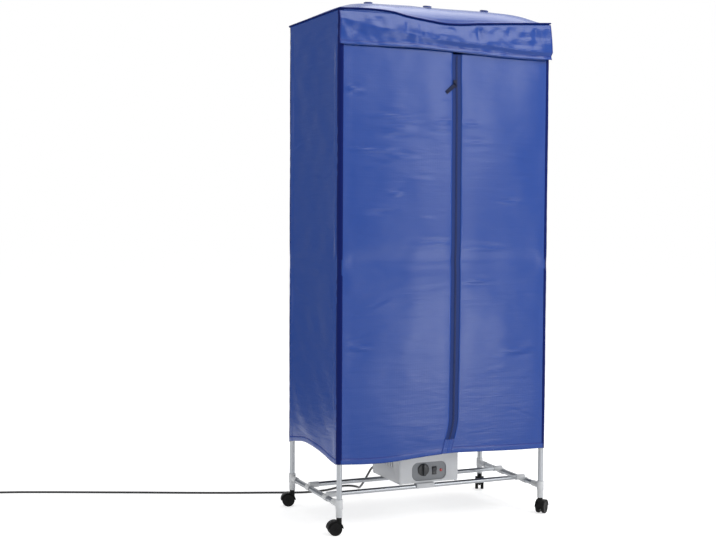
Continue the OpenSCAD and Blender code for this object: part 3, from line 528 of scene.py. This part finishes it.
def wall_mesh(name, side, relief):
    """A side wall: nearly flat, drawn in at the middle joint and at its foot."""
    half = LEG_Y - EDGE_GAP
    top = ROOF_Z - EDGE_GAP
    seed = 31 if side < 0 else 47

    def place(s, t):
        y = (2 * s - 1) * half * side
        hem = along(SIDE_HEM, y)
        z = hem + (top - hem) * t
        edge = ease(LEG_Y - np.abs(y), 0, 30)
        depth = -3.2 * fullness(y, LEG_Y) * ease(z, 200, 420) * (1 - ease(z, 1380, 1515))
        depth += edge * (waves(y, z, seed, (360, 800)) + 0.4 * waves(y, z, seed + 1, (140, 300)))
        fine = creases(y, z, scattered_creases(seed, 30, (-185, 185), (250, 1500), 0.6))
        fine = fine * (0.35 + 0.65 * ease(z, 420, 640)) * (1 - 0.6 * ease(z, 1440, 1515))
        depth += edge * relief * fine
        # the side rails and the corner tubes hold the cloth out
        held = hill(z, MID_JOINT_Z, 24) + ease(z, 1470, 1500)
        held = np.clip(1.4 * (held + 1 - ease(LEG_Y - np.abs(y), 12, 30)), 0, 1)
        depth = depth * (1 - held) + 0.35 * held
        x = side * (COVER_X + depth + hem_roll(z - hem))
        return np.stack([x, y, z], axis=1), y * side, z

    mesh, _ = moved_grid(name, 98, 326, place)
    stitch_hem(mesh, SIDE_HEM, 1)
    return mesh


def sag_at(x):
    """Drop of the back top edge, an arc between the corner tubes."""
    half = LEG_X - TUBE
    radius = (half * half + BACK_SAG * BACK_SAG) / (2 * BACK_SAG)
    drop = np.sqrt(np.maximum(radius**2 - x**2, 0)) - (radius - BACK_SAG)
    return np.where(np.abs(x) >= half, 0, drop)


def back_mesh(relief):
    """The back wall, drawn in at half height and held out by the top edge."""
    half = LEG_X - EDGE_GAP

    def place(s, t):
        x = (1 - 2 * s) * half
        hem = along(FRONT_HEM, x)
        top = ROOF_Z - 0.4 - sag_at(x)
        z = hem + (top - hem) * t
        edge = ease(LEG_X - np.abs(x), 0, 35)
        depth = 3.0 * fullness(x, LEG_X) * ease(z, 200, 420) * (1 - ease(z, 1300, 1500))
        depth += edge * (1.2 * waves(x, z, 61, (430, 880)) + 0.45 * waves(x, z, 62, (150, 320)))
        depth -= edge * 2.0 * hill(z, MID_JOINT_Z, 24)
        fine = creases(x, z, scattered_creases(63, 80, (-330, 330), (240, 1480), 1.0))
        depth += edge * relief * fine
        depth += hem_roll(z - hem)
        depth = np.where(z > 1480, np.minimum(depth, 0.6), depth)
        return np.stack([x, COVER_Y + depth, z], axis=1), -x, z

    mesh, _ = moved_grid("back", 150, 300, place)
    stitch_hem(mesh, FRONT_HEM, 0)
    return mesh


def front_edge(x):
    """Height of the roof cloth's front edge."""
    return along(TOP_EDGE, x) - 2.6


def roof_mesh(relief):
    """The bulging top, from piping to piping."""
    rim = ROOF_Z + 1.4
    dome = CROWN_Z - rim - 0.1
    cap_low, cap_high = node_box("vent_caps")
    cap_r = (cap_high[1] - cap_low[1]) / 2
    cap_y = (cap_high[1] + cap_low[1]) / 2

    def place(s, t):
        x = (2 * s - 1) * COVER_X
        y = (2 * t - 1) * COVER_Y
        rise = dome * (1 - (np.abs(x) / COVER_X) ** 6) * (1 - (np.abs(y) / COVER_Y) ** 4)
        weight = (np.abs(y) / COVER_Y) ** 5
        z = rim + rise + np.where(y < 0, front_edge(x) - rim, -sag_at(x)) * weight
        # no creases at the edges nor under the vent caps
        calm = np.minimum(ease(COVER_X - np.abs(x), 4, 60), ease(COVER_Y - np.abs(y), 4, 60))
        caps = 1.0
        for cap in (cap_low[0] + cap_r, (cap_low[0] + cap_high[0]) / 2, cap_high[0] - cap_r):
            caps = np.minimum(caps, ease(np.hypot(x - cap, y - cap_y), cap_r + 3, cap_r + 30))
        z += calm * caps * (0.9 * waves(x, y, 71, (260, 210)) + relief * creases(
            x, y, scattered_creases(72, 30, (-300, 300), (-170, 170), 1.0)))
        # small puckers where the roof is gathered into its piping
        pucker = np.sin(x / 5.1 + 2 * np.sin(x / 37)) * np.exp(-(COVER_Y - np.abs(y)) / 9)
        pucker += np.sin(y / 5.3 + 2 * np.sin(y / 31)) * np.exp(-(COVER_X - np.abs(x)) / 9)
        z += 0.45 * pucker * ease(np.minimum(COVER_X - np.abs(x), COVER_Y - np.abs(y)), 0, 4)
        return np.stack([x, y, z], axis=1), x, y

    mesh, _ = moved_grid("roof", 176, 104, place)
    points = mesh_points(mesh)
    near = np.minimum(COVER_X - np.abs(points[:, 0]), COVER_Y - np.abs(points[:, 1]))
    add_seam(mesh, hill(near, 9, 1.8))
    return mesh


def header_mesh():
    """The fixed strip of the front behind the flap."""
    half = LEG_X - EDGE_GAP

    def place(s, t):
        x = (2 * s - 1) * half
        low = along(FLAP_EDGE, x) - 1.6
        z = low + (front_edge(x) - 0.5 - low) * t
        return np.stack([x, 0 * x - COVER_Y, z], axis=1), x, z

    mesh, _ = moved_grid("header", 170, 24, place)
    add_seam(mesh, np.zeros(len(mesh.vertices)))
    return mesh


# Folds of the flap: centre across and up, half length, width, turn in degrees, height
FLAP_FOLDS = (
    (-262, 1500, 30, 15, 70, 1.6), (-205, 1492, 30, 14, 84, 1.6), (-138, 1484, 24, 9, 88, -1.6),
    (-96, 1480, 24, 9, 92, -1.6), (-34, 1468, 34, 15, 60, 1.4), (8, 1470, 30, 14, 100, 1.2),
    (60, 1474, 40, 16, 84, 1.2), (98, 1482, 26, 8, 92, -2.4), (126, 1478, 30, 14, 80, 2.0),
    (176, 1480, 30, 13, 66, 1.8), (204, 1494, 24, 8, 88, -2.0), (240, 1488, 30, 13, 80, 1.8),
    (292, 1480, 30, 10, 84, -2.4), (320, 1478, 44, 12, 84, 2.4), (150, 1452, 50, 12, -4, 1.8),
    (236, 1452, 50, 9, 2, -2.4), (262, 1464, 26, 7, 4, 4.0), (-40, 1452, 60, 11, -8, -1.6),
    (-100, 1458, 50, 10, -10, -1.6),
)


def flap_mesh(relief):
    """The flap: hung from the piping, full of folds, and turned under along a crease."""
    outer = -COVER_Y - 0.7
    half = COVER_X + 1.0

    def place(s, t):
        x = (2 * s - 1) * half
        top = np.minimum(along(TOP_EDGE, x) - 6.0, FLAP_HINGE_Z)
        low = along(FLAP_EDGE, x)
        crease = along(FLAP_CREASE, x)
        z = low + (top - low) * t
        above = np.clip((top - z) / (top - crease), 0, 1)
        below = np.clip((crease - z) / (crease - low), 0, 1)
        # the upper band leans out and faces up, the turned-under band falls back
        reach = 9.0 + 6.0 * ease(x, -300, -60)
        tuck = 0.6 * ease(below, 0, 0.6) - 0.2 * ease(below, 0.62, 1.0)
        depth = reach * np.where(z >= crease, above ** 0.85, 1 - tuck)
        hang = ease(1 - t, 0.01, 0.2)
        folds = 1.2 * waves(x, z * 1.4, 81, (150, 120)) + 0.4 * waves(x, z, 82, (60, 70))
        folds += creases(x, z, FLAP_FOLDS) * (1 - 0.25 * ease(x, 60, 200))
        folds += 0.3 * np.sin(x / 6.3 + 2.0 * np.sin(x / 41)) * hill(z, top - 10, 12)
        depth = np.maximum(depth + hang * relief * folds, 0.3)
        return np.stack([x, outer - depth, z], axis=1), x, z

    mesh, _ = moved_grid("flap", 290, 48, place)
    points = mesh_points(mesh)
    hem = hill(points[:, 2] - along(FLAP_EDGE, points[:, 0]), 9, 1.4)
    # the side edges are overlocked in the darker thread
    bound = 1 - ease(half - np.abs(points[:, 0]), 3.0, 4.5)
    add_seam(mesh, np.maximum(hem, bound))
    return mesh


# Settings a user would change


class CabinetColours(bpy.types.PropertyGroup):
    """Colours of the cover and its trim, as sRGB hex values."""

    cloth: bpy.props.StringProperty(name="Cover cloth", description="Colour of the cover",
                                    default="133e8f")
    binding: bpy.props.StringProperty(name="Bindings", description="Colour of bindings and piping",
                                      default="08195a")
    zip_tape: bpy.props.StringProperty(name="Zip tape", description="Colour of the zip's tape",
                                       default="18306c")


class CabinetShape(bpy.types.PropertyGroup):
    """Shape of the cloth and trim."""

    relief: bpy.props.FloatProperty(name="Creases", default=1.0, min=0, max=2,
                                    description="Height of the small creases, as a factor")
    piping: bpy.props.FloatProperty(name="Piping", default=0.005, min=0.003, max=0.008,
                                    description="Diameter of the piping", unit="LENGTH")
    tooth: bpy.props.FloatProperty(name="Zip tooth pitch", default=0.0042, min=0.003, max=0.006,
                                   description="From tooth to tooth", unit="LENGTH")


class CabinetCord(bpy.types.PropertyGroup):
    """Size of the power cord."""

    diameter: bpy.props.FloatProperty(name="Cord diameter", default=0.007, min=0.005, max=0.009,
                                      description="Diameter of the power cord", unit="LENGTH")


class CabinetStage(bpy.types.PropertyGroup):
    """The floor, lights and camera."""

    lens: bpy.props.FloatProperty(name="Lens", description="Focal length for a 36 mm sensor",
                                  default=63.43, min=20, max=200, subtype="DISTANCE_CAMERA")
    key: bpy.props.FloatProperty(name="Key light", description="Power of the tall front lights",
                                 default=33, min=0, max=500, unit="POWER")


# Front left, front right, back left, back right
CORNERS = ("fl", "fr", "bl", "br")
SIDES = (("left", -1), ("right", 1))
# Brightness of the studio as it lights the object
STUDIO_LEVEL = 0.5
# The floor as the camera sees it: plain white, and paper that takes the shadow
FLOOR_WHITE = 0.65
FLOOR_PAPER = 0.70
# Place of the camera in metres, and its yaw, pitch and roll in degrees
CAMERA_PLACE = (-1.7395, -3.5606, 0.9532)
CAMERA_ANGLES = (23.38, 2.80, 0.30)

# The cord's centreline, from the strain relief's tip to the plug's tail, in millimetres
CORD_ROUTE = (
    (-72, 129, 120), (-72, 150, 116), (-72, 176, 104), (-73, 200, 82), (-73, 225, 58),
    (-70, 254, 37), (-63, 288, 20), (-53, 322, 9), (-46, 350, 4.5), (-50.5, 369, 3.5),
    (-63, 381.5, 3.5), (-80, 386, 3.5), (-97, 382, 3.5), (-125, 365, 3.5), (-158, 350, 3.5),
    (-205, 343, 3.5), (-255, 348, 3.5), (-312, 369, 3.5), (-378, 394, 3.5), (-444, 418, 3.5),
    (-510, 444, 3.5), (-580, 473, 3.5), (-659, 507, 3.5), (-740, 543, 3.5), (-820, 577, 3.5),
    (-900, 611, 3.5), (-980, 645, 3.5), (-1060, 678, 3.5), (-1140, 709, 3.5), (-1220, 732, 3.5),
    (-1286, 733, 3.5), (-1330, 704, 4), (-1342, 656, 9), (-1334, 618, 16), (-1326, 590, 19),
)
# How far past the cord's end the plug's face lies, in millimetres
PLUG_FACE = 40.3

# Lamps: name, place, target and size in metres, power; a share of the stage's key for key lights
LAMPS = (
    ("key_light", (2.1, -4.2, 1.86), (0, 0, 1.41), (0.36, 1.48), 0.72),
    ("lower_key_light", (2.1, -4.2, 0.31), (0, 0, -0.14), (0.36, 0.62), 0.28),
    ("low_light", (1.36, -2.82, 0.14), (1.31, -2.73, 1.14), (0.32, 2.4), 18),
    ("front_top_light", (1.15, -2.2, 3.5), (0, 0, 0.85), (2.2, 1.7), 62),
    ("top_light", (1.0, 0.8, 3.8), (0, 0, 0.85), (1.8, 1.8), 34),
    ("left_fill_light", (-3.6, 0.3, 1.5), (0, 0, 0.85), (2.0, 2.0), 25),
)


def seen_rays(tree):
    """1 for rays that show the background: camera, reflected and transmitted ones."""
    path = add_node(tree, "LightPath")
    total = path.outputs["Is Camera Ray"]
    for kind in ("Is Glossy Ray", "Is Transmission Ray"):
        total = add_node(tree, "Math", {"operation": "MAXIMUM"}, i0=total,
                         i1=path.outputs[kind]).outputs[0]
    return total


def square(name, half):
    """A flat square of the stage, half metres from its middle to each side."""
    work = bmesh.new()
    bmesh.ops.create_grid(work, x_segments=1, y_segments=1, size=half)
    return add_object(name, finish_mesh(work, name))


def facing(place, ahead, axis):
    """The matrix of a thing at a place whose axis points ahead."""
    turn = Vector(ahead).normalized().to_track_quat(axis, "Y")
    return Matrix.Translation(place) @ turn.to_matrix().to_4x4()


def make_world(scene):
    """Even studio surroundings, seen as white."""
    world = bpy.data.worlds.new("studio")
    world.use_nodes = True
    tree = world.node_tree
    tree.nodes.clear()
    white = add_node(tree, "Math", {"operation": "MULTIPLY_ADD", 1: 1 - STUDIO_LEVEL,
                                    2: STUDIO_LEVEL}, i0=seen_rays(tree))
    sky = add_node(tree, "Background", {"Color": (1, 1, 1, 1)}, Strength=white.outputs[0])
    add_node(tree, "OutputWorld", None, Surface=sky.outputs[0])
    scene.world = world


def make_floor():
    """A white floor that keeps the object's soft shadow."""
    floor = square("floor", 30)
    # Matt white paper sweep: no gloss, nearly white
    material = bpy.data.materials.new("white_paper_floor")
    material.use_nodes = True
    tree = material.node_tree
    tree.nodes.clear()
    matt = add_node(tree, "BsdfDiffuse", {"Color": (0.92, 0.92, 0.92, 1)})
    paper = add_node(tree, "BsdfDiffuse", {"Color": (FLOOR_PAPER,) * 3 + (1,)})
    glow = add_node(tree, "Emission", {"Color": (1, 1, 1, 1), "Strength": FLOOR_WHITE})
    shown = add_node(tree, "AddShader", None, i0=glow.outputs[0], i1=paper.outputs[0])
    mix = add_node(tree, "MixShader", None, i0=seen_rays(tree), i1=matt.outputs[0],
                   i2=shown.outputs[0])
    add_node(tree, "OutputMaterial", None, Surface=mix.outputs[0])
    floor.data.materials.append(material)


def make_lights(scene):
    """Two soft boxes on the front right, a low strip, two overhead, a weak fill on the left."""
    for name, place, target, size, power in LAMPS:
        lamp = bpy.data.lights.new(name, "AREA")
        lamp.shape = "RECTANGLE"
        lamp.size, lamp.size_y = size
        lamp.energy = power * (scene.cabinet_stage.key if "key" in name else 1)
        light = add_object(name, lamp)
        light.visible_camera = False
        light.matrix_world = facing(place, Vector(target) - Vector(place), "-Z")


def make_flag():
    """A grey card behind the left side, seen only in reflections, that keeps the side dark."""
    flag = square("grey_flag", 0.5)
    flag.matrix_world = facing((-0.96, 1.5, 1.15), (0.38, -0.92, 0), "Z") @ Matrix.Diagonal(
        (1.0, 2.3, 1, 1))
    # Grey felt: matt, takes most of the light
    flag.data.materials.append(new_material("grey_felt", "868a92", 1.0)[0])
    for ray in ("camera", "diffuse", "transmission", "shadow"):
        setattr(flag, f"visible_{ray}", False)


class CABINET_OT_stage(bpy.types.Operator):
    """Adds the camera, the floor and the lights"""

    bl_idname = "cabinet.stage"
    bl_label = "Stage"

    def execute(self, context):
        scene = context.scene
        yaw, pitch, roll = (math.radians(a) for a in CAMERA_ANGLES)
        ahead = Vector((math.sin(yaw) * math.cos(pitch), math.cos(yaw) * math.cos(pitch),
                        -math.sin(pitch)))
        right = Vector((math.cos(yaw), -math.sin(yaw), 0))
        right = math.cos(roll) * right + math.sin(roll) * right.cross(ahead)
        lens = bpy.data.cameras.new("photo_camera")
        lens.sensor_width = 36
        lens.lens = scene.cabinet_stage.lens
        lens.clip_start = 0.05
        camera = add_object("photo_camera", lens)
        camera.matrix_world = Matrix.Translation(CAMERA_PLACE) @ Matrix(
            (right, right.cross(ahead), -ahead)).transposed().to_4x4()
        scene.camera = camera
        scene.view_settings.view_transform = "Standard"
        make_world(scene)
        make_floor()
        make_lights(scene)
        make_flag()
        return {"FINISHED"}


class CABINET_OT_finishes(bpy.types.Operator):
    """Makes the materials"""

    bl_idname = "cabinet.finishes"
    bl_label = "Finishes"

    def execute(self, context):
        make_materials(context.scene.cabinet_colours)
        return {"FINISHED"}


def make_plug():
    """The moulded plug with rounded edges and plated pins."""
    plug = soften("plug", "frame", "plug_rubber", "pvc", 0.8, 30, "mains_plug")
    plug.data.materials.append(MATERIALS["pins"])
    tail, end = (Vector(CORD_ROUTE[i]) for i in (-2, -1))
    ahead = Vector((end.x - tail.x, end.y - tail.y, 0)).normalized()
    for face in plug.data.polygons:
        if (face.center / MM - end).dot(ahead) > PLUG_FACE:
            face.material_index = 1
    return plug


class CABINET_OT_cord(bpy.types.Operator):
    """Lays the power cord and finishes its plug"""

    bl_idname = "cabinet.cord"
    bl_label = "Power Cord"

    def execute(self, context):
        route = np.array(CORD_ROUTE) * MM
        last = len(route) - 1
        radius = context.scene.cabinet_cord.diameter / 2
        curve, spline = round_curve("mains_cord", "BEZIER", radius, 4, len(route))
        curve.use_fill_caps = True
        curve.resolution_u = 8
        for i, point in enumerate(spline.bezier_points):
            # handles a third of the way to the neighbours
            step = (route[min(i + 1, last)] - route[max(i - 1, 0)]) / (6 if 0 < i < last else 3)
            point.co = route[i]
            point.handle_left = route[i] - step
            point.handle_right = route[i] + step
        cord = add_piece("mains_cord", curve, "frame", "pvc", "power_cord",
                         smooth=False)
        plug = make_plug()
        finish_node("cord_relief", "pvc")
        return {"FINISHED"}


class CABINET_OT_frame(bpy.types.Operator):
    """Finishes the tubes and rounds the plastic sockets"""

    bl_idname = "cabinet.frame"
    bl_label = "Frame"

    def execute(self, context):
        for name in ("upper_legs", "base_rail_left", "base_rail_right", "cross_rail_front",
                     "cross_rail_back", "mid_rails", "top_rails", "upper_rods", "lower_rods",
                     "heater_screws", *(f"leg_lower_{corner}" for corner in CORNERS)):
            finish_node(name, "chrome")
        for name in ("base_connectors", "rail_tees", "leg_joints", "top_connectors", "rail_clips"):
            soften(name, "frame", "joint_plastic", "socket", 0.8)
        return {"FINISHED"}


class CABINET_OT_casters(bpy.types.Operator):
    """Rounds the casters' hoods and wheels"""

    bl_idname = "cabinet.casters"
    bl_label = "Casters"

    def execute(self, context):
        for corner in CORNERS:
            soften(f"caster_{corner}_hood", f"caster_{corner}", "hood_plastic", "nylon", 0.9)
            for wheel in ("a", "b"):
                soften(f"caster_{corner}_wheel_{wheel}", f"wheel_{corner}_{wheel}", "wheel_plastic",
                       "nylon", 0.7)
        return {"FINISHED"}


class CABINET_OT_walls(bpy.types.Operator):
    """Hangs the roof and the three walls"""

    bl_idname = "cabinet.walls"
    bl_label = "Roof and Walls"

    def execute(self, context):
        relief = context.scene.cabinet_shape.relief
        # name, mesh, CAD node, flat size in metres
        for name, mesh, node, flat in (
                ("roof_cloth", roof_mesh(relief), "cover_top", (0.74, 0.45)),
                *((f"{word}_wall_cloth", wall_mesh(f"{word}_wall", side, relief),
                   f"cover_{word}", (0.392, 1.3)) for word, side in SIDES),
                ("back_wall_cloth", back_mesh(relief), "cover_back", (0.682, 1.3)),
                ("header_cloth", header_mesh(), "cover_header", (0.682, 0.1))):
            piece = add_piece(name, mesh, "frame", "cover", node)
            thicken(piece, CLOTH)
        return {"FINISHED"}


class CABINET_OT_doors(bpy.types.Operator):
    """Hangs the two leaves of the front"""

    bl_idname = "cabinet.doors"
    bl_label = "Doors"

    def execute(self, context):
        relief = context.scene.cabinet_shape.relief
        for (word, side), width in zip(SIDES, (0.356, 0.3)):
            piece = add_piece(f"{word}_door_cloth", door_mesh(side, relief), f"door_{word}",
                              "cover", f"door_{word}")
            thicken(piece, CLOTH)
        return {"FINISHED"}


class CABINET_OT_flap(bpy.types.Operator):
    """Hangs the flap over the zip's upper end"""

    bl_idname = "cabinet.flap"
    bl_label = "Flap"

    def execute(self, context):
        mesh = flap_mesh(context.scene.cabinet_shape.relief)
        piece = add_piece("flap_cloth", mesh, None, "cover", "front_flap")
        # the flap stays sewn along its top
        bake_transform(piece)
        thicken(piece, 1.0)
        return {"FINISHED"}


def make_bindings():
    """A strip bent round each corner tube, with its edges lapped over both panels."""
    radius = COVER_X - LEG_X
    lap = 3.2
    arc = radius * math.pi / 2
    top = ROOF_Z - EDGE_GAP
    parts = bmesh.new()
    parts.loops.layers.uv.new("UVMap")
    for sx, sy in ((-1, -1), (1, -1), (-1, 1), (1, 1)):
        work = bmesh.new()
        bmesh.ops.create_grid(work, x_segments=14, y_segments=330, size=0.5)
        work.verts.ensure_lookup_table()
        flat = np.array([v.co[:2] for v in work.verts]) + 0.5
        run = flat[:, 0] * (arc + 2 * lap) - lap
        low = FRONT_HEM[0 if sx < 0 else -1][1] - 0.6
        z = low + (top - low) * flat[:, 1]
        # uneven, pinched in at the middle joint, and puckered by its stitches
        r = radius + 0.55 + 0.25 * np.sin(z / 61 + sx) - 1.4 * pinch(z)
        r += 0.12 * np.sin(z / 7.3 + 1.3 * np.sin(z / 29))
        angle = np.clip(run / radius, 0, math.pi / 2)
        over = run - angle * radius
        across = r * np.cos(angle) - np.where(over > 0, over, 0)
        back = r * np.sin(angle) + np.where(over < 0, over, 0)
        for vert, a, b, h in zip(work.verts, across, back, z):
            vert.co = (sx * (LEG_X + a) * MM, sy * (LEG_Y + b) * MM, h * MM)
        scratch = finish_mesh(work, "strip")
        if sx * sy < 0:
            scratch.flip_normals()
        parts.from_mesh(scratch)
        bpy.data.meshes.remove(scratch)
    mesh = finish_mesh(parts, "corner_binding_strips")
    thicken(add_piece("corner_binding_strips", mesh, "frame", "binding",
                      "corner_bindings"), 0.9)


def make_piping(context):
    """A round cord in a bias strip, run along the roof's edge."""
    x = np.linspace(-350, 350, 71)
    y = np.linspace(-200, 200, 11)
    side_x = COVER_X + 1.6 + 0 * y
    side_y = COVER_Y + 1.6 + 0 * x
    side_z = ROOF_Z + 1.2 + 0 * y
    points = np.concatenate([np.stack(run, axis=1) for run in (
        (x, -side_y, front_edge(x) + 0.9), (side_x, y, side_z),
        (-x, side_y, ROOF_Z + 1.0 - sag_at(x)), (-side_x, -y, side_z))])
    curve, spline = round_curve("roof_piping", "POLY", context.scene.cabinet_shape.piping / 2, 3,
                                len(points))
    for item, point in zip(spline.points, points * MM):
        item.co = (*point, 1)
    spline.use_cyclic_u = True
    add_piece("roof_piping", curve, "frame", "binding", "top_piping", smooth=False)


class CABINET_OT_edges(bpy.types.Operator):
    """Sews on the corner bindings and the piping, and finishes the vent caps"""

    bl_idname = "cabinet.edges"
    bl_label = "Bindings and Piping"

    def execute(self, context):
        make_bindings()
        make_piping(context)
        finish_node("vent_caps", "vent")
        return {"FINISHED"}


def sew(name, place, grid, word, side, material, thickness, replaced=None):
    """Makes a piece of cloth on a leaf's edge. Returns it and its points' places in the grid."""
    mesh, flat = moved_grid(name, *grid, place)
    if side < 0:
        mesh.flip_normals()
    piece = add_piece(name, mesh, f"door_{word}", material, replaced)
    thicken(piece, thickness)
    return piece, flat


def make_tape(word, side):
    """A tape beside the teeth, stitched to the leaf's edge."""
    top = node_box(f"zip_tape_{word}")[1][2]

    def place(s, t):
        z = ZIP_END_Z + (top - ZIP_END_Z) * t
        offset = side * (0.12 + (HALF_ZIP + 1.9) * s)
        x = zip_place(z) + offset
        depth = front_depth(x, z, ZIP_RELIEF) - 0.3 - 0.5 * s
        return np.stack([x, -COVER_Y - depth, z], axis=1), offset, z

    sew(f"{word}_zip_tape", place, (8, 300), word, side, "tape", 0.7,
        f"zip_tape_{word}")


def make_teeth(word, side, pitch):
    """Separate moulded teeth, clipped on the tape's edge."""
    top = node_box(f"zip_tape_{word}")[1][2]
    work = bmesh.new()
    count = int((top - ZIP_END_Z - 4) / pitch)
    z = ZIP_END_Z + 3 + (np.arange(count) + (0.5 if side > 0 else 0)) * pitch
    x = zip_place(z)
    depth = front_depth(x, z, ZIP_RELIEF)
    for spot in np.stack([x + side * 1.65, -COVER_Y - depth - 0.1, z], axis=1):
        add_block(work, spot, (3.0, 1.9, 0.62 * pitch))
    mesh = finish_mesh(work, f"{word}_zip_teeth")
    add_piece(f"{word}_zip_teeth", mesh, f"door_{word}", "teeth", smooth=False)


def make_end_patch(word, side):
    """Half of the cloth patch sewn over the zip's lower end."""
    reach = HALF_ZIP + 2.5
    top = ZIP_END_Z + 5

    def place(s, t):
        offset = side * (0.15 + (reach - 0.15) * s)
        hem = along(FRONT_HEM, ZIP_X + 0 * s)
        z = hem + 0.5 + (top - hem - 0.5) * t
        x = zip_place(z) + offset
        depth = front_depth(x, z, ZIP_RELIEF) + hem_roll(z - hem) + 1.35 - 0.4 * ease(s, 0.2, 0.5)
        return np.stack([x, -COVER_Y - depth, z], axis=1), offset, z

    piece, flat = sew(f"{word}_zip_end_patch", place, (20, 50), word, side,
                      "cover", 0.8)
    edge = np.minimum((1 - flat[:, 0]) * reach, (1 - flat[:, 1]) * 45)
    add_seam(piece.data, hill(edge, 1.8, 1.1))


class CABINET_OT_zip(bpy.types.Operator):
    """Makes the zip's tapes and teeth and finishes its slider"""

    bl_idname = "cabinet.zip"
    bl_label = "Zip"

    def execute(self, context):
        pitch = context.scene.cabinet_shape.tooth / MM
        for word, side in SIDES:
            make_tape(word, side)
            make_teeth(word, side, pitch)
            make_end_patch(word, side)
        soften("zip_slider", "zip_slider", "zip_metal", "slider", 0.3)
        soften("zip_pull", "zip_pull", "zip_metal", "slider", 0.4)
        return {"FINISHED"}


def make_dial_marks():
    """Tick marks round the timer knob, 25 degrees apart, each third one longer."""
    low, high = node_box("timer_knob")
    face = node_box("control_panel")[0][1] + 0.3
    radius = (high[0] - low[0]) / 2 + 2.6
    work = bmesh.new()
    for i in range(13):
        angle = math.radians(-150 + i * 25)
        length = 3.0 if i % 3 == 0 else 1.8
        out = radius + length / 2
        spot = ((low[0] + high[0]) / 2 + out * math.sin(angle), face - 0.05,
                (low[2] + high[2]) / 2 + out * math.cos(angle))
        add_block(work, spot, (0.8, 0.1, length), angle)
    mesh = finish_mesh(work, "dial_marks")
    add_piece("dial_marks", mesh, "frame", "ink", smooth=False)


class CABINET_OT_heater(bpy.types.Operator):
    """Finishes the heater's shell, controls and inner pieces"""

    bl_idname = "cabinet.heater"
    bl_label = "Heater"

    def execute(self, context):
        for row in (("heater_cover", "frame", "heater_shell", "shell", 1.0),
                    ("heater_base", "frame", "heater_shell", "shell", 0.5),
                    ("control_panel", "frame", "panel_plastic", "panel", 0.4),
                    ("timer_knob", "timer_knob", "knob_plastic", "knob", 0.7),
                    ("power_rocker", "power_rocker", "knob_plastic", "knob", 0.4)):
            soften(*row)
        for name, material in (("indicator_lens", "lens"), ("timer_unit", "panel"),
                               ("fan_motor", "motor"), ("fan_rotor", "knob"),
                               ("heating_element", "ceramic"), ("outlet_grille", "knob")):
            finish_node(name, material)
        make_dial_marks()
        return {"FINISHED"}


class CABINET_PT_sidebar(bpy.types.Panel):
    """Lists the steps of the cabinet"""

    bl_idname = "CABINET_PT_sidebar"
    bl_label = "Drying Cabinet"
    bl_space_type = "VIEW_3D"
    bl_region_type = "UI"
    bl_category = "Cabinet"

    def draw(self, context):
        for name, group in GROUPS:
            for setting in group.__annotations__:
                self.layout.prop(getattr(context.scene, name), setting)
        for step in STEPS:
            self.layout.operator(step.bl_idname)


GROUPS = (
    ("cabinet_colours", CabinetColours),
    ("cabinet_shape", CabinetShape),
    ("cabinet_cord", CabinetCord),
    ("cabinet_stage", CabinetStage),
)
STEPS = (
    CABINET_OT_stage,
    CABINET_OT_finishes,
    CABINET_OT_cord,
    CABINET_OT_frame,
    CABINET_OT_casters,
    CABINET_OT_walls,
    CABINET_OT_doors,
    CABINET_OT_flap,
    CABINET_OT_edges,
    CABINET_OT_zip,
    CABINET_OT_heater,
)


def register():
    for name, group in GROUPS:
        bpy.utils.register_class(group)
        setattr(bpy.types.Scene, name, bpy.props.PointerProperty(type=group))
    for step in STEPS:
        bpy.utils.register_class(step)
    bpy.utils.register_class(CABINET_PT_sidebar)


def unregister():
    bpy.utils.unregister_class(CABINET_PT_sidebar)
    for step in reversed(STEPS):
        bpy.utils.unregister_class(step)
    for name, group in reversed(GROUPS):
        delattr(bpy.types.Scene, name)
        bpy.utils.unregister_class(group)


def main():
    register()
    for step in STEPS:
        getattr(bpy.ops.cabinet, step.bl_idname.split(".")[1])()


if __name__ == "__main__":
    main()
